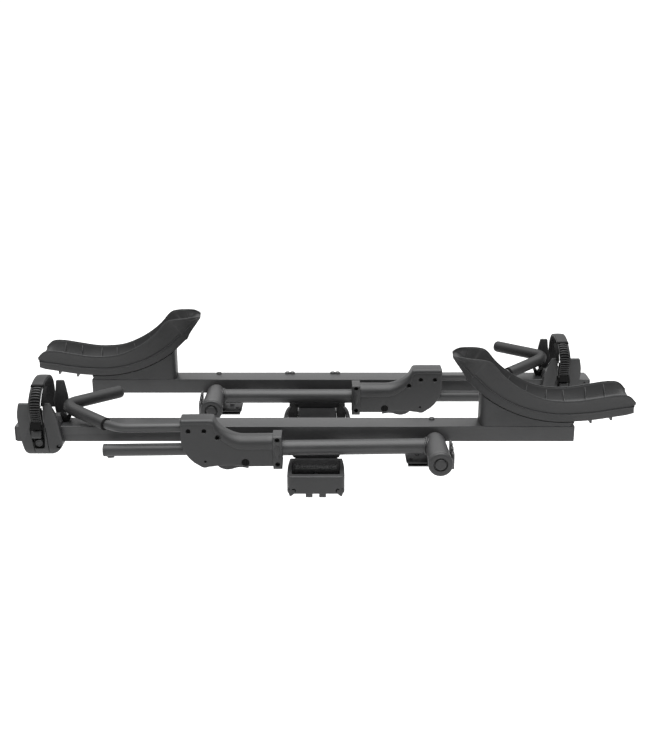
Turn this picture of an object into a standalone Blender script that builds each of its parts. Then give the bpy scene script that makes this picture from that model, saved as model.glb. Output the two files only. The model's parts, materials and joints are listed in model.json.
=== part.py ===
"""Hitch mounted bike rack, two trays on a tilting spine. Metres, +Z up.

World frame: the origin is the centre of the hitch pin hole in the shank, +X is right seen from
behind the vehicle, and +Y points at the vehicle. Each tray is drawn once in its own frame: x runs
along the beam towards the wheel cradle, y = 0 is the beam's rear face and z = 0 its underside.
The inner tray is the mirror image of the outer one.
"""

from math import cos, pi, radians, sin

import bmesh
import bpy
from mathutils import Matrix, Vector

RACK = "hitch_bike_rack"

# ---- driving dimensions -------------------------------------------------------------------
BEAM_LENGTH = 1.310
BEAM_DEPTH = 0.060
BEAM_HEIGHT = 0.038
BEAM_MID = BEAM_DEPTH / 2
TRAY_PITCH = 0.340
OUTER_TRAY = Vector((-0.049, -0.700, 0.125))
INNER_TRAY = Vector((0.062, OUTER_TRAY.y + TRAY_PITCH, OUTER_TRAY.z))
GAP = 0.0004

SHANK_SIDE = 0.0508
SHANK_WALL = 0.005
SHANK_REAR = -0.150
SHANK_FRONT = 0.062
PIN_HOLE = 0.0165
PIN_DIAMETER = 0.0155

TILT_AXIS = Vector((0, -0.230, 0.057))
SPINE_WIDTH = 0.102
SPINE_HEIGHT = 0.046
SPINE_TOP = 0.079
SPINE_REAR = -0.694
SPINE_FRONT = -0.268
LOCK_PIN_Z = 0.044
HANDLE_TOP = 0.075
HANDLE_REAR = -0.8035
HANDLE_FRONT = -0.6945

ARM_X = 0.326
ARM_Y = -0.047
ARM_Z = 0.0085
ARM_SAG = radians(0.8)
ARM_TUBE_RADIUS = 0.018
ARM_TUBE_END = -0.548
BAR_RADIUS = 0.0145
BAR_END = -0.769
BARREL_RADIUS = 0.028
BARREL_REAR = -0.010
BARREL_FRONT = -0.152
HOOK_ROD_RADIUS = 0.011
HOOK_ROD_HEIGHT = 0.054
SHEATH_RADIUS = 0.0150

HOUSING_HALF = 0.0235
HOUSING_LEFT = -0.586
HOUSING_RIGHT = -0.3765
HOUSING_TOP = 0.080
SLEEVE_TOP = 0.0355
SLEEVE_LOW = -0.035
COLLAR_RIGHT = -0.355
TRIGGER_HINGE = (-0.4400, 0, -0.0275)

OUTER_STRAP_X = -0.600
INNER_STRAP_X = -0.583
STRAP_WIDTH = 0.025


# ---- scene helpers ------------------------------------------------------------------------
def clear_scene():
    for item in list(bpy.data.objects):
        bpy.data.objects.remove(item, do_unlink=True)


def collection(name, hidden=False):
    made = bpy.data.collections.new(name)
    made.hide_render = hidden
    bpy.context.scene.collection.children.link(made)
    return made


def material(name, shade, roughness, metallic=0.0):
    made = bpy.data.materials.new(name)
    made.use_nodes = True
    made.diffuse_color = (shade, shade, shade, 1)
    shader = made.node_tree.nodes["Principled BSDF"]
    shader.inputs["Base Color"].default_value = (shade, shade, shade * 1.02, 1)
    shader.inputs["Roughness"].default_value = roughness
    shader.inputs["Metallic"].default_value = metallic
    return made


def new_object(name, bm, finish):
    """A named object from a bmesh, with its normals made consistent and outward."""
    bmesh.ops.remove_doubles(bm, verts=bm.verts, dist=1e-6)
    bmesh.ops.recalc_face_normals(bm, faces=bm.faces)
    mesh = bpy.data.meshes.new(name)
    bm.to_mesh(mesh)
    bm.free()
    made = bpy.data.objects.new(name, mesh)
    if finish:
        mesh.materials.append(finish)
    PARTS.objects.link(made)
    return made


def smooth(obj, angle=35):
    obj.data.shade_smooth()
    obj.data.set_sharp_from_angle(angle=radians(angle))


def bevel(obj, width, segments=2, angle=40):
    mod = obj.modifiers.new("edge_round", "BEVEL")
    mod.width = width
    mod.segments = segments
    mod.limit_method = "ANGLE"
    mod.angle_limit = radians(angle)
    return obj


def cut(obj, cutter, operation="DIFFERENCE"):
    """Applies a Boolean, so the cutter can go once it has done its work."""
    mod = obj.modifiers.new("cut", "BOOLEAN")
    mod.object = cutter
    mod.operation = operation
    mod.solver = "EXACT"
    bpy.context.view_layer.update()
    graph = bpy.context.evaluated_depsgraph_get()
    mesh = bpy.data.meshes.new_from_object(obj.evaluated_get(graph))
    obj.modifiers.clear()
    obj.data = mesh
    bpy.data.objects.remove(cutter, do_unlink=True)
    return obj


# ---- shape helpers: each returns a bmesh --------------------------------------------------
def box(low, high):
    bm = bmesh.new()
    bmesh.ops.create_cube(bm, size=1)
    low, high = Vector(low), Vector(high)
    for v in bm.verts:
        v.co = Vector((low[i] + (v.co[i] + 0.5) * (high[i] - low[i]) for i in range(3)))
    return bm


def along(axis):
    """Turns local +Z to the named world axis."""
    turns = {"X": Matrix.Rotation(pi / 2, 3, "Y"), "Y": Matrix.Rotation(-pi / 2, 3, "X")}
    return turns.get(axis, Matrix.Identity(3))


def lathe(profile, centre, axis="Z", steps=24):
    """Turns (radius, distance) points about an axis; a profile that starts and ends on it is solid."""
    bm = bmesh.new()
    turn = along(axis)
    rings = []
    for radius, height in profile:
        if radius < 1e-7:
            rings.append([bm.verts.new(Vector(centre) + turn @ Vector((0, 0, height)))])
            continue
        ring = []
        for i in range(steps):
            angle = 2 * pi * i / steps
            point = Vector((radius * cos(angle), radius * sin(angle), height))
            ring.append(bm.verts.new(Vector(centre) + turn @ point))
        rings.append(ring)
    closed = profile[0][0] > 1e-7
    count = len(rings)
    for n in range(count if closed else count - 1):
        a, b = rings[n], rings[(n + 1) % count]
        for i in range(steps):
            j = (i + 1) % steps
            corners = [a[i % len(a)], a[j % len(a)], b[j % len(b)], b[i % len(b)]]
            unique = list(dict.fromkeys(corners))
            if len(unique) > 2:
                bm.faces.new(unique)
    return bm


def rod(radius, start, end, centre, axis, steps=24, chamfer=0.0):
    """A round bar between two stations on an axis through centre."""
    if chamfer:
        profile = [(0, start), (radius - chamfer, start), (radius, start + chamfer)]
        profile += [(radius, end - chamfer), (radius - chamfer, end), (0, end)]
    else:
        profile = [(0, start), (radius, start), (radius, end), (0, end)]
    return lathe(profile, centre, axis, steps)


def pipe(outer, inner, start, end, centre, axis, steps=24):
    profile = [(outer, start), (outer, end), (inner, end), (inner, start)]
    return lathe(profile, centre, axis, steps)


def plate(outline, low, high, plane="XZ"):
    """A flat plate: the outline in one plane, pulled from low to high across it."""
    order = {"XZ": (0, 2, 1), "YZ": (1, 2, 0), "XY": (0, 1, 2)}[plane]
    bm = bmesh.new()
    faces = []
    for depth in (low, high):
        ring = []
        for a, b in outline:
            point = [0, 0, 0]
            point[order[0]], point[order[1]], point[order[2]] = a, b, depth
            ring.append(bm.verts.new(point))
        faces.append(ring)
    bm.faces.new(faces[0])
    bm.faces.new(faces[1])
    count = len(outline)
    for i in range(count):
        j = (i + 1) % count
        bm.faces.new((faces[0][i], faces[0][j], faces[1][j], faces[1][i]))
    return bm


def arc(centre, radius, start, end, steps):
    """Points on an arc, with angles in degrees."""
    points = []
    for i in range(steps + 1):
        angle = radians(start + (end - start) * i / steps)
        points.append((centre[0] + radius * cos(angle), centre[1] + radius * sin(angle)))
    return points


def loft(rings, closed_ends=True):
    """Skins a row of equal rings of points."""
    bm = bmesh.new()
    made = [[bm.verts.new(p) for p in ring] for ring in rings]
    count = len(made[0])
    for a, b in zip(made, made[1:]):
        for i in range(count):
            j = (i + 1) % count
            bm.faces.new((a[i], a[j], b[j], b[i]))
    if closed_ends:
        bm.faces.new(made[0])
        bm.faces.new(made[-1])
    return bm


def round_corners(points, radius, steps=5):
    """Replaces each inner corner of a path with an arc of about this radius."""
    path = [Vector(points[0])]
    for before, here, after in zip(points, points[1:], points[2:]):
        before, here, after = Vector(before), Vector(here), Vector(after)
        back, on = (before - here), (after - here)
        reach = min(radius, back.length * 0.48, on.length * 0.48)
        start, end = here + back.normalized() * reach, here + on.normalized() * reach
        for i in range(steps + 1):
            t = i / steps
            path.append(start * (1 - t) ** 2 + here * 2 * t * (1 - t) + end * t**2)
    path.append(Vector(points[-1]))
    return path


def wire(path, radius, sides=12):
    """A round bar that follows a path, with flat ends."""
    rings = []
    normal = Vector((0, 0, 1))
    for n, point in enumerate(path):
        ahead = path[min(n + 1, len(path) - 1)] - path[max(n - 1, 0)]
        ahead.normalize()
        normal = (normal - ahead * normal.dot(ahead)).normalized()
        across = ahead.cross(normal)
        ring = []
        for i in range(sides):
            angle = 2 * pi * i / sides
            ring.append(point + normal * radius * cos(angle) + across * radius * sin(angle))
        rings.append(ring)
    return loft(rings)


def ribbon(path, half_width, thickness, inner=0.0):
    """A strip whose width lies along X; with inner set it is a flat sleeve with that wall left."""
    rings = []
    for n, point in enumerate(path):
        ahead = path[min(n + 1, len(path) - 1)] - path[max(n - 1, 0)]
        out = Vector((0, -ahead.z, ahead.y)).normalized()
        x = Vector((half_width, 0, 0))
        rings.append([point - x, point + x, point + x + out * thickness, point - x + out * thickness])
    if not inner:
        return loft(rings)
    hollow = []
    for n, ring in enumerate(rings):
        wall_x = Vector((inner, 0, 0))
        up = (ring[3] - ring[0]).normalized() * inner
        hollow.append([ring[0] + wall_x + up, ring[1] - wall_x + up])
        hollow[-1] += [ring[2] - wall_x - up, ring[3] + wall_x - up]
    bm = bmesh.new()
    outside = [[bm.verts.new(p) for p in ring] for ring in rings]
    inside = [[bm.verts.new(p) for p in ring] for ring in hollow]
    for skin in (outside, inside):
        for a, b in zip(skin, skin[1:]):
            for i in range(4):
                j = (i + 1) % 4
                bm.faces.new((a[i], a[j], b[j], b[i]))
    for end in (0, -1):
        for i in range(4):
            j = (i + 1) % 4
            bm.faces.new((outside[end][i], outside[end][j], inside[end][j], inside[end][i]))
    return bm


def merged(name, first, *others):
    """Several overlapping bodies made into one closed body."""
    base = new_object(name, first, None)
    for other in others:
        cut(base, new_object(name + "_part", other, None), "UNION")
    return base


# ---- placing ------------------------------------------------------------------------------
class Tray:
    """One tray's frame. Arm parts of the outer tray hang a little lower, at ARM_SAG."""

    def __init__(self, name, origin, mirror, sag, strap_x):
        self.name = name
        self.origin = origin
        self.strap_x = strap_x
        self.flip = Matrix.Diagonal((-1 if mirror else 1, 1, 1))
        self.sag = sag

    def point(self, local, on_arm=False):
        """A tray-frame point in world coordinates."""
        local = Vector(local)
        if on_arm:
            pivot = Vector((ARM_X, ARM_Y, ARM_Z))
            local = pivot + Matrix.Rotation(-self.sag, 3, "Y") @ (local - pivot)
        return self.origin + self.flip @ local

    def place(self, obj, name, finish, origin=(0, 0, 0), on_arm=False, edge=0.0, angle=35):
        """Moves a mesh drawn in the tray frame to the world, with its origin on its own axis."""
        obj.name = f"{self.name}_{name}"
        centre = self.point(origin, on_arm)
        for v in obj.data.vertices:
            v.co = self.point(v.co, on_arm) - centre
        if self.flip[0][0] < 0:
            obj.data.flip_normals()
        obj.location = centre
        return finish_part(obj, finish, edge, angle)


def finish_part(obj, finish, edge=0.0, angle=35):
    obj.data.materials.clear()
    obj.data.materials.append(finish)
    smooth(obj, angle)
    if edge:
        bevel(obj, edge)
    return obj


def set_origin(obj, centre):
    """Puts a world-space mesh's origin on its joint axis."""
    centre = Vector(centre)
    for v in obj.data.vertices:
        v.co -= centre
    obj.location = centre
    return obj


def arm_point(x, y, z):
    """A point given from the arm's hinge, in the tray frame."""
    return Vector((ARM_X + x, ARM_Y + y, ARM_Z + z))


# ---- shank and tilt yoke ------------------------------------------------------------------
def make_shank():
    half = SHANK_SIDE / 2
    bore = half - SHANK_WALL
    shank = new_object("hitch_shank", box((-half, SHANK_REAR, -half), (half, SHANK_FRONT, half)), None)
    bevel(shank, 0.004)
    hollow = box((-bore, SHANK_REAR - 0.01, -bore), (bore, SHANK_FRONT + 0.01, bore))
    cut(shank, new_object("bore", hollow, None))
    hole = rod(PIN_HOLE / 2, -0.05, 0.05, (0, 0, 0), "X")
    cut(shank, new_object("hole", hole, None))
    finish_part(shank, POWDER_COAT)


def make_hitch_pin():
    """The pin goes through the hitch's own tube, and its bent end is a finger pull."""
    x_head = -0.062
    path = round_corners(
        [(x_head, 0, 0), (x_head - 0.018, 0, 0), (x_head - 0.018, 0, -0.050)], 0.012, 4
    )
    pull = wire(path, 0.005, 10)
    shaft = rod(PIN_DIAMETER / 2, x_head - 0.002, 0.078, (0, 0, 0), "X", 20, 0.002)
    flange = rod(0.014, x_head - 0.004, x_head, (0, 0, 0), "X", 20)
    pin = merged("hitch_pin", shaft, flange, pull)
    finish_part(pin, ZINC)


def make_wobble_drive():
    """A knob at the shank's rear end turns a draw rod, which pulls a wedge up its ramp."""
    rear = SHANK_REAR
    plug = new_object("shank_plug", box((-0.019, rear + 0.002, -0.019), (0.019, rear + 0.014, 0.019)), None)
    cut(plug, new_object("bore", rod(0.0068, rear - 0.01, rear + 0.03, (0, 0, 0), "Y", 16), None))
    finish_part(plug, POWDER_COAT, 0.001)

    profile = [(0, rear - 0.040), (0.019, rear - 0.040), (0.024, rear - 0.036)]
    profile += [(0.024, rear - 0.012), (0.014, rear - 0.006), (0.014, rear - 0.002)]
    profile += [(0, rear - 0.002)]
    knob = new_object("wobble_knob", lathe(profile, (0, 0, 0), "Y", 24), None)
    for i in range(6):
        angle = 2 * pi * i / 6
        centre = (0.029 * cos(angle), 0, 0.029 * sin(angle))
        groove = rod(0.008, rear - 0.05, rear - 0.011, centre, "Y", 12)
        cut(knob, new_object("groove", groove, None))
    cut(knob, new_object("seat", rod(0.0064, rear - 0.03, rear, (0, 0, 0), "Y", 16), None))
    set_origin(finish_part(knob, BLACK_PLASTIC), (0, rear, 0))

    draw = rod(0.006, rear - 0.0295, -0.036, (0, 0, 0), "Y", 16, 0.001)
    set_origin(finish_part(new_object("wobble_draw_rod", draw, None), ZINC), (0, rear, 0))

    ramp = [(-0.030, -0.019), (-0.012, -0.019), (-0.012, 0.014), (-0.030, 0.004)]
    wedge = new_object("wobble_wedge", plate(ramp, -0.017, 0.017, "YZ"), None)
    cut(wedge, new_object("bore", rod(0.0068, -0.05, -0.0, (0, 0, 0), "Y", 16), None))
    set_origin(finish_part(wedge, ZINC), (0, -0.021, 0))


def yoke_ear(x_low, x_high):
    """A side plate that runs from the shank up and back to the tilt axis."""
    y, z = TILT_AXIS.y, TILT_AXIS.z
    outline = arc((y, z), 0.034, 35, 215, 9)
    outline += [(y - 0.012, z - 0.036), (SHANK_REAR + 0.022, -0.024), (SHANK_REAR + 0.075, -0.024)]
    outline += [(SHANK_REAR + 0.085, 0.026)]
    return plate(outline, x_low, x_high, "YZ")


def make_tilt_yoke():
    inner = SPINE_WIDTH / 2 + 0.0035
    outer = inner + 0.008
    web = box((-inner - 0.001, TILT_AXIS.y + 0.0475, 0.0268), (inner + 0.001, SHANK_REAR + 0.080, 0.0338))
    yoke = merged("tilt_yoke", yoke_ear(-outer, -inner), yoke_ear(inner, outer), web)
    for side in (-1, 1):
        cheek = box((0.0262, SHANK_REAR + 0.026, -0.020), (inner + 0.001, SHANK_REAR + 0.070, 0.020))
        if side < 0:
            bmesh.ops.scale(cheek, vec=(-1, 1, 1), verts=cheek.verts)
        cut(yoke, new_object("cheek", cheek, None), "UNION")
    detent = box((-0.030, TILT_AXIS.y + 0.0475, 0.030), (0.030, TILT_AXIS.y + 0.0555, 0.068))
    cut(yoke, new_object("detent", detent, None), "UNION")
    cut(yoke, new_object("hole", rod(0.0075, -0.1, 0.1, (0, TILT_AXIS.y, TILT_AXIS.z), "X", 20), None))
    socket = rod(0.0058, TILT_AXIS.y + 0.03, TILT_AXIS.y + 0.08, (0, 0, LOCK_PIN_Z), "Y", 16)
    cut(yoke, new_object("socket", socket, None))
    finish_part(yoke, POWDER_COAT)


def make_tilt_bolt():
    reach = SPINE_WIDTH / 2 + 0.0120
    centre = (0, TILT_AXIS.y, TILT_AXIS.z)
    shaft = rod(0.0070, -reach - 0.002, reach + 0.010, centre, "X", 20, 0.001)
    head = rod(0.0125, -reach - 0.009, -reach, centre, "X", 6)
    set_origin(finish_part(merged("tilt_pivot_bolt", shaft, head), ZINC), centre)
    nut = pipe(0.0125, 0.0084, reach, reach + 0.008, centre, "X", 6)
    set_origin(finish_part(new_object("tilt_pivot_nut", nut, None), ZINC), centre)


# ---- spine, handle and release ------------------------------------------------------------
def make_spine():
    half = SPINE_WIDTH / 2
    low = SPINE_TOP - SPINE_HEIGHT
    spine = new_object("spine_tube", box((-half, SPINE_REAR, low), (half, SPINE_FRONT, SPINE_TOP)), None)
    bevel(spine, 0.006)
    inside = box(
        (-half + 0.0035, SPINE_REAR - 0.01, low + 0.0035), (half - 0.0035, SPINE_FRONT + 0.01, SPINE_TOP - 0.0035)
    )
    cut(spine, new_object("inside", inside, None))
    finish_part(spine, POWDER_COAT)


def make_clevis():
    """The block in the spine's front end that turns on the tilt bolt and guides the lock pin."""
    y, z = TILT_AXIS.y, TILT_AXIS.z
    half = SPINE_WIDTH / 2 - 0.0040
    low = SPINE_TOP - SPINE_HEIGHT + 0.0040
    stem = box((-half, SPINE_FRONT - 0.050, low), (half, SPINE_FRONT + 0.004, SPINE_TOP - 0.0040))
    clevis = new_object("tilt_clevis", stem, None)
    lug_outline = arc((y, z), 0.0225, -90, 90, 8)
    lug_outline += [(SPINE_FRONT + 0.003, z + 0.0175), (SPINE_FRONT + 0.003, z - 0.0190)]
    for low_x, high_x in ((-half - 0.003, -0.020), (0.020, half + 0.003)):
        cut(clevis, new_object("lug", plate(lug_outline, low_x, high_x, "YZ"), None), "UNION")
    cut(clevis, new_object("hole", rod(0.0075, -0.1, 0.1, (0, y, z), "X", 20), None))
    cut(clevis, new_object("guide", rod(0.0058, -0.45, -0.2, (0, 0, LOCK_PIN_Z), "Y", 16), None))
    set_origin(finish_part(clevis, POWDER_COAT), (0, y, z))


def make_handle():
    """The grip frame on the spine's rear end: its near bar is the grip."""
    top, low = HANDLE_TOP, HANDLE_TOP - 0.038
    rear, front = HANDLE_REAR, HANDLE_FRONT
    half_grip, half_root = 0.0640, 0.0600
    outline = [(-half_root, front), (-half_grip, front - 0.040), (-half_grip, rear + 0.014)]
    outline += arc((-half_grip + 0.012, rear + 0.012), 0.012, 190, 265, 3)
    outline += arc((half_grip - 0.012, rear + 0.012), 0.012, 275, 350, 3)
    outline += [(half_grip, rear + 0.014), (half_grip, front - 0.040), (half_root, front)]
    frame = bevel(new_object("handle_frame", plate(outline, low, top, "XY"), None), 0.003)
    window = box((-0.0520, rear + 0.026, low - 0.01), (0.0520, front - 0.009, top + 0.01))
    cut(frame, new_object("window", window, None))
    passage = rod(0.0055, front - 0.02, front + 0.02, (0, 0, LOCK_PIN_Z), "Y", 16)
    cut(frame, new_object("passage", passage, None))
    for x in (-0.0155, 0.0155):
        tab = box((x - 0.0080, rear + 0.004, low - 0.010), (x + 0.0080, rear + 0.014, low + 0.004))
        cut(frame, new_object("tab", tab, None), "UNION")
    finish_part(frame, BLACK_PLASTIC)


def make_release():
    """The squeeze lever, its rod through the spine and the tilt lock pin move as one."""
    rear, front = -0.7345, -0.7205
    bar = box((-0.0512, rear, 0.0385), (0.0512, front, HANDLE_TOP - 0.010))
    lever = new_object("handle_lever", bar, None)
    for i in range(13):
        x = -0.048 + 0.008 * i
        ridge = box((x - 0.0015, rear - 0.0025, 0.0395), (x + 0.0015, rear + 0.001, HANDLE_TOP - 0.011))
        cut(lever, new_object("ridge", ridge, None), "UNION")
    centre = (0, rear, LOCK_PIN_Z)
    set_origin(finish_part(lever, BLACK_PLASTIC), centre)
    link = rod(0.0045, front + GAP, -0.3300, (0, 0, LOCK_PIN_Z), "Y", 12)
    set_origin(finish_part(new_object("release_rod", link, None), ZINC), centre)
    nose = TILT_AXIS.y + 0.043
    pin = rod(0.0050, -0.3295, nose, (0, 0, LOCK_PIN_Z), "Y", 16, 0.001)
    set_origin(finish_part(new_object("tilt_lock_pin", pin, None), ZINC), centre)
    turns = 9
    spring_start, spring_end = -0.4300, -0.3420
    path = []
    for i in range(turns * 8 + 1):
        angle = 2 * pi * i / 8
        y = spring_start + (spring_end - spring_start) * i / (turns * 8)
        path.append(Vector((0.0063 * cos(angle), y, LOCK_PIN_Z + 0.0063 * sin(angle))))
    finish_part(new_object("release_spring", wire(path, 0.0008, 5), None), ZINC)


# ---- saddles and rails --------------------------------------------------------------------
def make_saddle(tray, name):
    """The curved gusset that carries one beam on the spine: a box, open towards the spine."""
    y_mid = tray.origin.y + BEAM_MID
    top, low = tray.origin.z - GAP, SPINE_TOP + GAP
    outline = [(-0.235, top), (-0.235, top - 0.005)]
    outline += [(-0.165, top - 0.020), (-0.110, top - 0.034), (-0.066, low)]
    outline += [(-x, z) for x, z in reversed(outline)]
    saddle = new_object(name, plate(outline, y_mid - 0.021, y_mid + 0.021, "XZ"), None)
    pocket = [(-0.170, top - 0.005), (-0.165, top - 0.0140), (-0.112, top - 0.0275)]
    pocket += [(-0.064, top - 0.040), (-0.060, low - 0.010)]
    pocket += [(-x, z) for x, z in reversed(pocket)]
    cut(saddle, new_object("pocket", plate(pocket, y_mid - 0.016, y_mid + 0.016, "XZ"), None))
    finish_part(saddle, POWDER_COAT, 0.0015)


def make_rails():
    """Two bowed side plates tie the saddles together beside the spine."""
    start = OUTER_TRAY.y + BEAM_MID + 0.0214
    end = INNER_TRAY.y + BEAM_MID - 0.0214
    middle = (start + end) / 2
    bow = 0.007
    for name, side in (("spine_rail_left", -1), ("spine_rail_right", 1)):
        outer, inner = [], []
        for i in range(9):
            t = -1 + 2 * i / 8
            y = middle + t * (end - start) / 2
            x = 0.0770 + bow * (1 - t * t)
            outer.append((side * x, y))
            inner.append((side * (x - 0.0075), y))
        rail = plate(outer + inner[::-1], SPINE_TOP - 0.030, SPINE_TOP + 0.005, "XY")
        finish_part(new_object(name, rail, None), POWDER_COAT)


# ---- beam, wheel cradle -------------------------------------------------------------------
def make_beam(tray):
    """A box section beam, closed at the wheel cradle's end and capped at the other."""
    half = BEAM_LENGTH / 2
    beam = new_object("beam", box((-half, 0, 0), (half, BEAM_DEPTH, BEAM_HEIGHT)), None)
    bevel(beam, 0.004)
    hollow = box((-half - 0.01, 0.002, 0.002), (half - 0.003, BEAM_DEPTH - 0.002, BEAM_HEIGHT - 0.002))
    cut(beam, new_object("hollow", hollow, None))
    tray.place(beam, "beam", POWDER_COAT)
    flange = box((-half - 0.004, 0.001, 0.001), (-half - GAP, BEAM_DEPTH - 0.001, BEAM_HEIGHT - 0.001))
    spigot = box((-half - 0.002, 0.0032, 0.0032), (-half + 0.015, BEAM_DEPTH - 0.0032, BEAM_HEIGHT - 0.0032))
    cap = merged("cap", flange, spigot)
    tray.place(cap, "beam_end_cap", BLACK_PLASTIC, edge=0.0008)


def cradle_station(root, lip, width, skirt):
    """One cross-section of the trough: skirt, ridge, flared wall and floor."""
    root, lip = Vector((root[0], 0, root[1])), Vector((lip[0], 0, lip[1]))
    up = (lip - root).normalized()
    height = (lip - root).length
    wall, floor = 0.004, min(0.006, height * 0.5)
    half = [(0.031, -skirt), (0.038, 0), (0.052, height), (0.048, height), (0.034, floor)]
    ring = [(-y, n) for y, n in half] + [(y, n) for y, n in reversed(half)]
    return [root + up * n + Vector((0, BEAM_MID + y * width, 0)) for y, n in ring]


def make_wheel_cradle(tray):
    """A curved trough that the wheel sits in, closed by a bow at its inner end."""
    roots = [(0.3665, 0.2020), (0.372, 0.199), (0.383, 0.191), (0.396, 0.179), (0.410, 0.163)]
    lips = [(0.3665, 0.2060), (0.372, 0.207), (0.386, 0.209), (0.404, 0.208), (0.431, 0.206)]
    widths = [0.25, 0.52, 0.78, 0.93, 1.0]
    skirts = [0.004, 0.008, 0.012, 0.016, 0.018]
    centre, radius = (0.628, 0.358), 0.288
    for angle in (222, 231, 240, 249, 258, 267, 276):
        a = radians(angle)
        roots.append((centre[0] + radius * cos(a), centre[1] + radius * sin(a)))
        reach = radius - 0.037 - 0.013 * max(0, (258 - angle) / 36)
        lips.append((centre[0] + reach * cos(a), centre[1] + reach * sin(a)))
        widths.append(1.0)
        skirts.append(0.021)
    roots += [(0.700, 0.0755), (0.745, 0.083), (0.772, 0.0865), (0.788, 0.089)]
    lips += [(0.699, 0.1155), (0.7405, 0.122), (0.7685, 0.120), (0.7865, 0.103)]
    widths += [1.0, 1.0, 1.0, 0.97]
    skirts += [0.021, 0.021, 0.020, 0.018]
    rings = [cradle_station(*row) for row in zip(roots, lips, widths, skirts)]
    trough = new_object("trough", loft(rings), None)
    tray.place(trough, "wheel_cradle", BLACK_PLASTIC, angle=28)


def make_pedestal(tray):
    """The shell between beam and trough, open below; its top follows the trough's underside."""
    left, right = 0.433, 0.6535
    centre, radius = (0.628, 0.358), 0.288 + 0.021 + 0.0012
    top = []
    steps = 10
    for i in range(steps + 1):
        x = left + (right - left) * i / steps
        drop = (radius**2 - (x - centre[0]) ** 2) ** 0.5
        top.append((x, centre[1] - drop - 0.0006))
    outline = [(left, BEAM_HEIGHT + GAP), (right - 0.006, BEAM_HEIGHT + GAP)]
    outline += [(right, BEAM_HEIGHT + 0.006)] + top[::-1]
    block = new_object("pedestal", plate(outline, 0.0006, BEAM_DEPTH - 0.0006, "XZ"), None)
    inside = [(left + 0.005, 0.030), (right - 0.020, 0.030)]
    inside += [(x, z - 0.005) for x, z in top[::-1] if left + 0.005 < x < right - 0.020]
    inside.append((left + 0.005, inside[-1][1] + 0.012))
    cut(block, new_object("inside", plate(inside, 0.0046, BEAM_DEPTH - 0.0046, "XZ"), None))
    tray.place(block, "cradle_pedestal", BLACK_PLASTIC, edge=0.0010)


# ---- arm ----------------------------------------------------------------------------------
def make_pivot_bracket(tray):
    """A cranked plate bolted under the beam that carries the arm's pivot bolt."""
    x, low = ARM_X, -0.0285
    sole = box((x - 0.020, -0.006, low - 0.006), (x + 0.020, BEAM_DEPTH - 0.012, -GAP))
    bracket = new_object("bracket", sole, None)
    shelf = box((x - 0.068, -0.058, low - 0.006), (x + 0.040, 0.010, low - 0.001))
    cut(bracket, new_object("shelf", shelf, None), "UNION")
    ear = box((x + 0.034, -0.086, low - 0.0055), (x + 0.0395, -0.012, 0.012))
    cut(bracket, new_object("ear", ear, None), "UNION")
    hole = rod(0.0040, -0.1, 0.1, (x - 0.055, -0.034, 0), "Z", 12)
    cut(bracket, new_object("hole", hole, None))
    tray.place(bracket, "pivot_bracket", POWDER_COAT, edge=0.0)


def make_arm_tube(tray):
    """The arm's outer tube and its cross barrel, a tube with a bushing at each end, in one piece."""
    barrel = rod(BARREL_RADIUS, BARREL_FRONT - ARM_Y, BARREL_REAR - ARM_Y, arm_point(0, 0, 0), "Y", 28, 0.005)
    tube = rod(ARM_TUBE_RADIUS, ARM_TUBE_END, -0.004, arm_point(0, 0, 0), "X", 24)
    arm = merged("arm", barrel, tube)
    bore = rod(BAR_RADIUS + 0.0005, ARM_TUBE_END - 0.01, -0.060, arm_point(0, 0, 0), "X", 24)
    cut(arm, new_object("bore", bore, None))
    hollow = rod(0.0230, BARREL_FRONT - ARM_Y + 0.016, BARREL_REAR - ARM_Y - 0.016, arm_point(0, 0, 0), "Y", 24)
    cut(arm, new_object("hollow", hollow, None))
    through = rod(0.0085, -0.2, 0.2, arm_point(0, 0, 0), "Y", 20)
    cut(arm, new_object("through", through, None))
    tray.place(arm, "arm_tube", POWDER_COAT, (ARM_X, ARM_Y, ARM_Z), True)


def make_pivot_bolt(tray):
    """The bolt that the barrel turns on, with the round cap that covers its head."""
    centre = Vector((ARM_X, 0, ARM_Z))
    shaft = rod(0.0078, BARREL_FRONT - 0.003, -GAP, centre, "Y", 20)
    front = BARREL_FRONT - 0.0006
    profile = [(0, front - 0.0085), (0.0125, front - 0.0085), (0.0135, front - 0.0060)]
    profile += [(0.0150, front - 0.0060), (0.0260, front - 0.0080), (BARREL_RADIUS, front - 0.0055)]
    profile += [(BARREL_RADIUS, front), (0, front)]
    bolt = merged("bolt", shaft, lathe(profile, centre, "Y", 28))
    tray.place(bolt, "pivot_bolt", POWDER_COAT)


def make_ratchet_bar(tray):
    """The arm's inner bar, toothed on its far side, with a plug and a stop tab on its free end."""
    axis = arm_point(0, 0, 0)
    bar = new_object("bar", rod(BAR_RADIUS, BAR_END, -0.500, axis, "X", 24, 0.001), None)
    hollow = rod(0.0105, BAR_END + 0.003, -0.45, axis, "X", 16)
    cut(bar, new_object("hollow", hollow, None))
    teeth = []
    for i in range(9):
        x = BAR_END + 0.060 + 0.012 * i
        teeth.append(box(arm_point(x, 0.0136, -0.006), arm_point(x + 0.007, 0.0165, 0.006)))
    for tooth in teeth:
        cut(bar, new_object("tooth", tooth, None), "UNION")
    tab = box(arm_point(BAR_END + 0.008, -0.006, -0.0175), arm_point(BAR_END + 0.026, 0.006, -0.0130))
    cut(bar, new_object("tab", tab, None), "UNION")
    tray.place(bar, "ratchet_bar", POWDER_COAT, (ARM_X, ARM_Y, ARM_Z), True)


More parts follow.
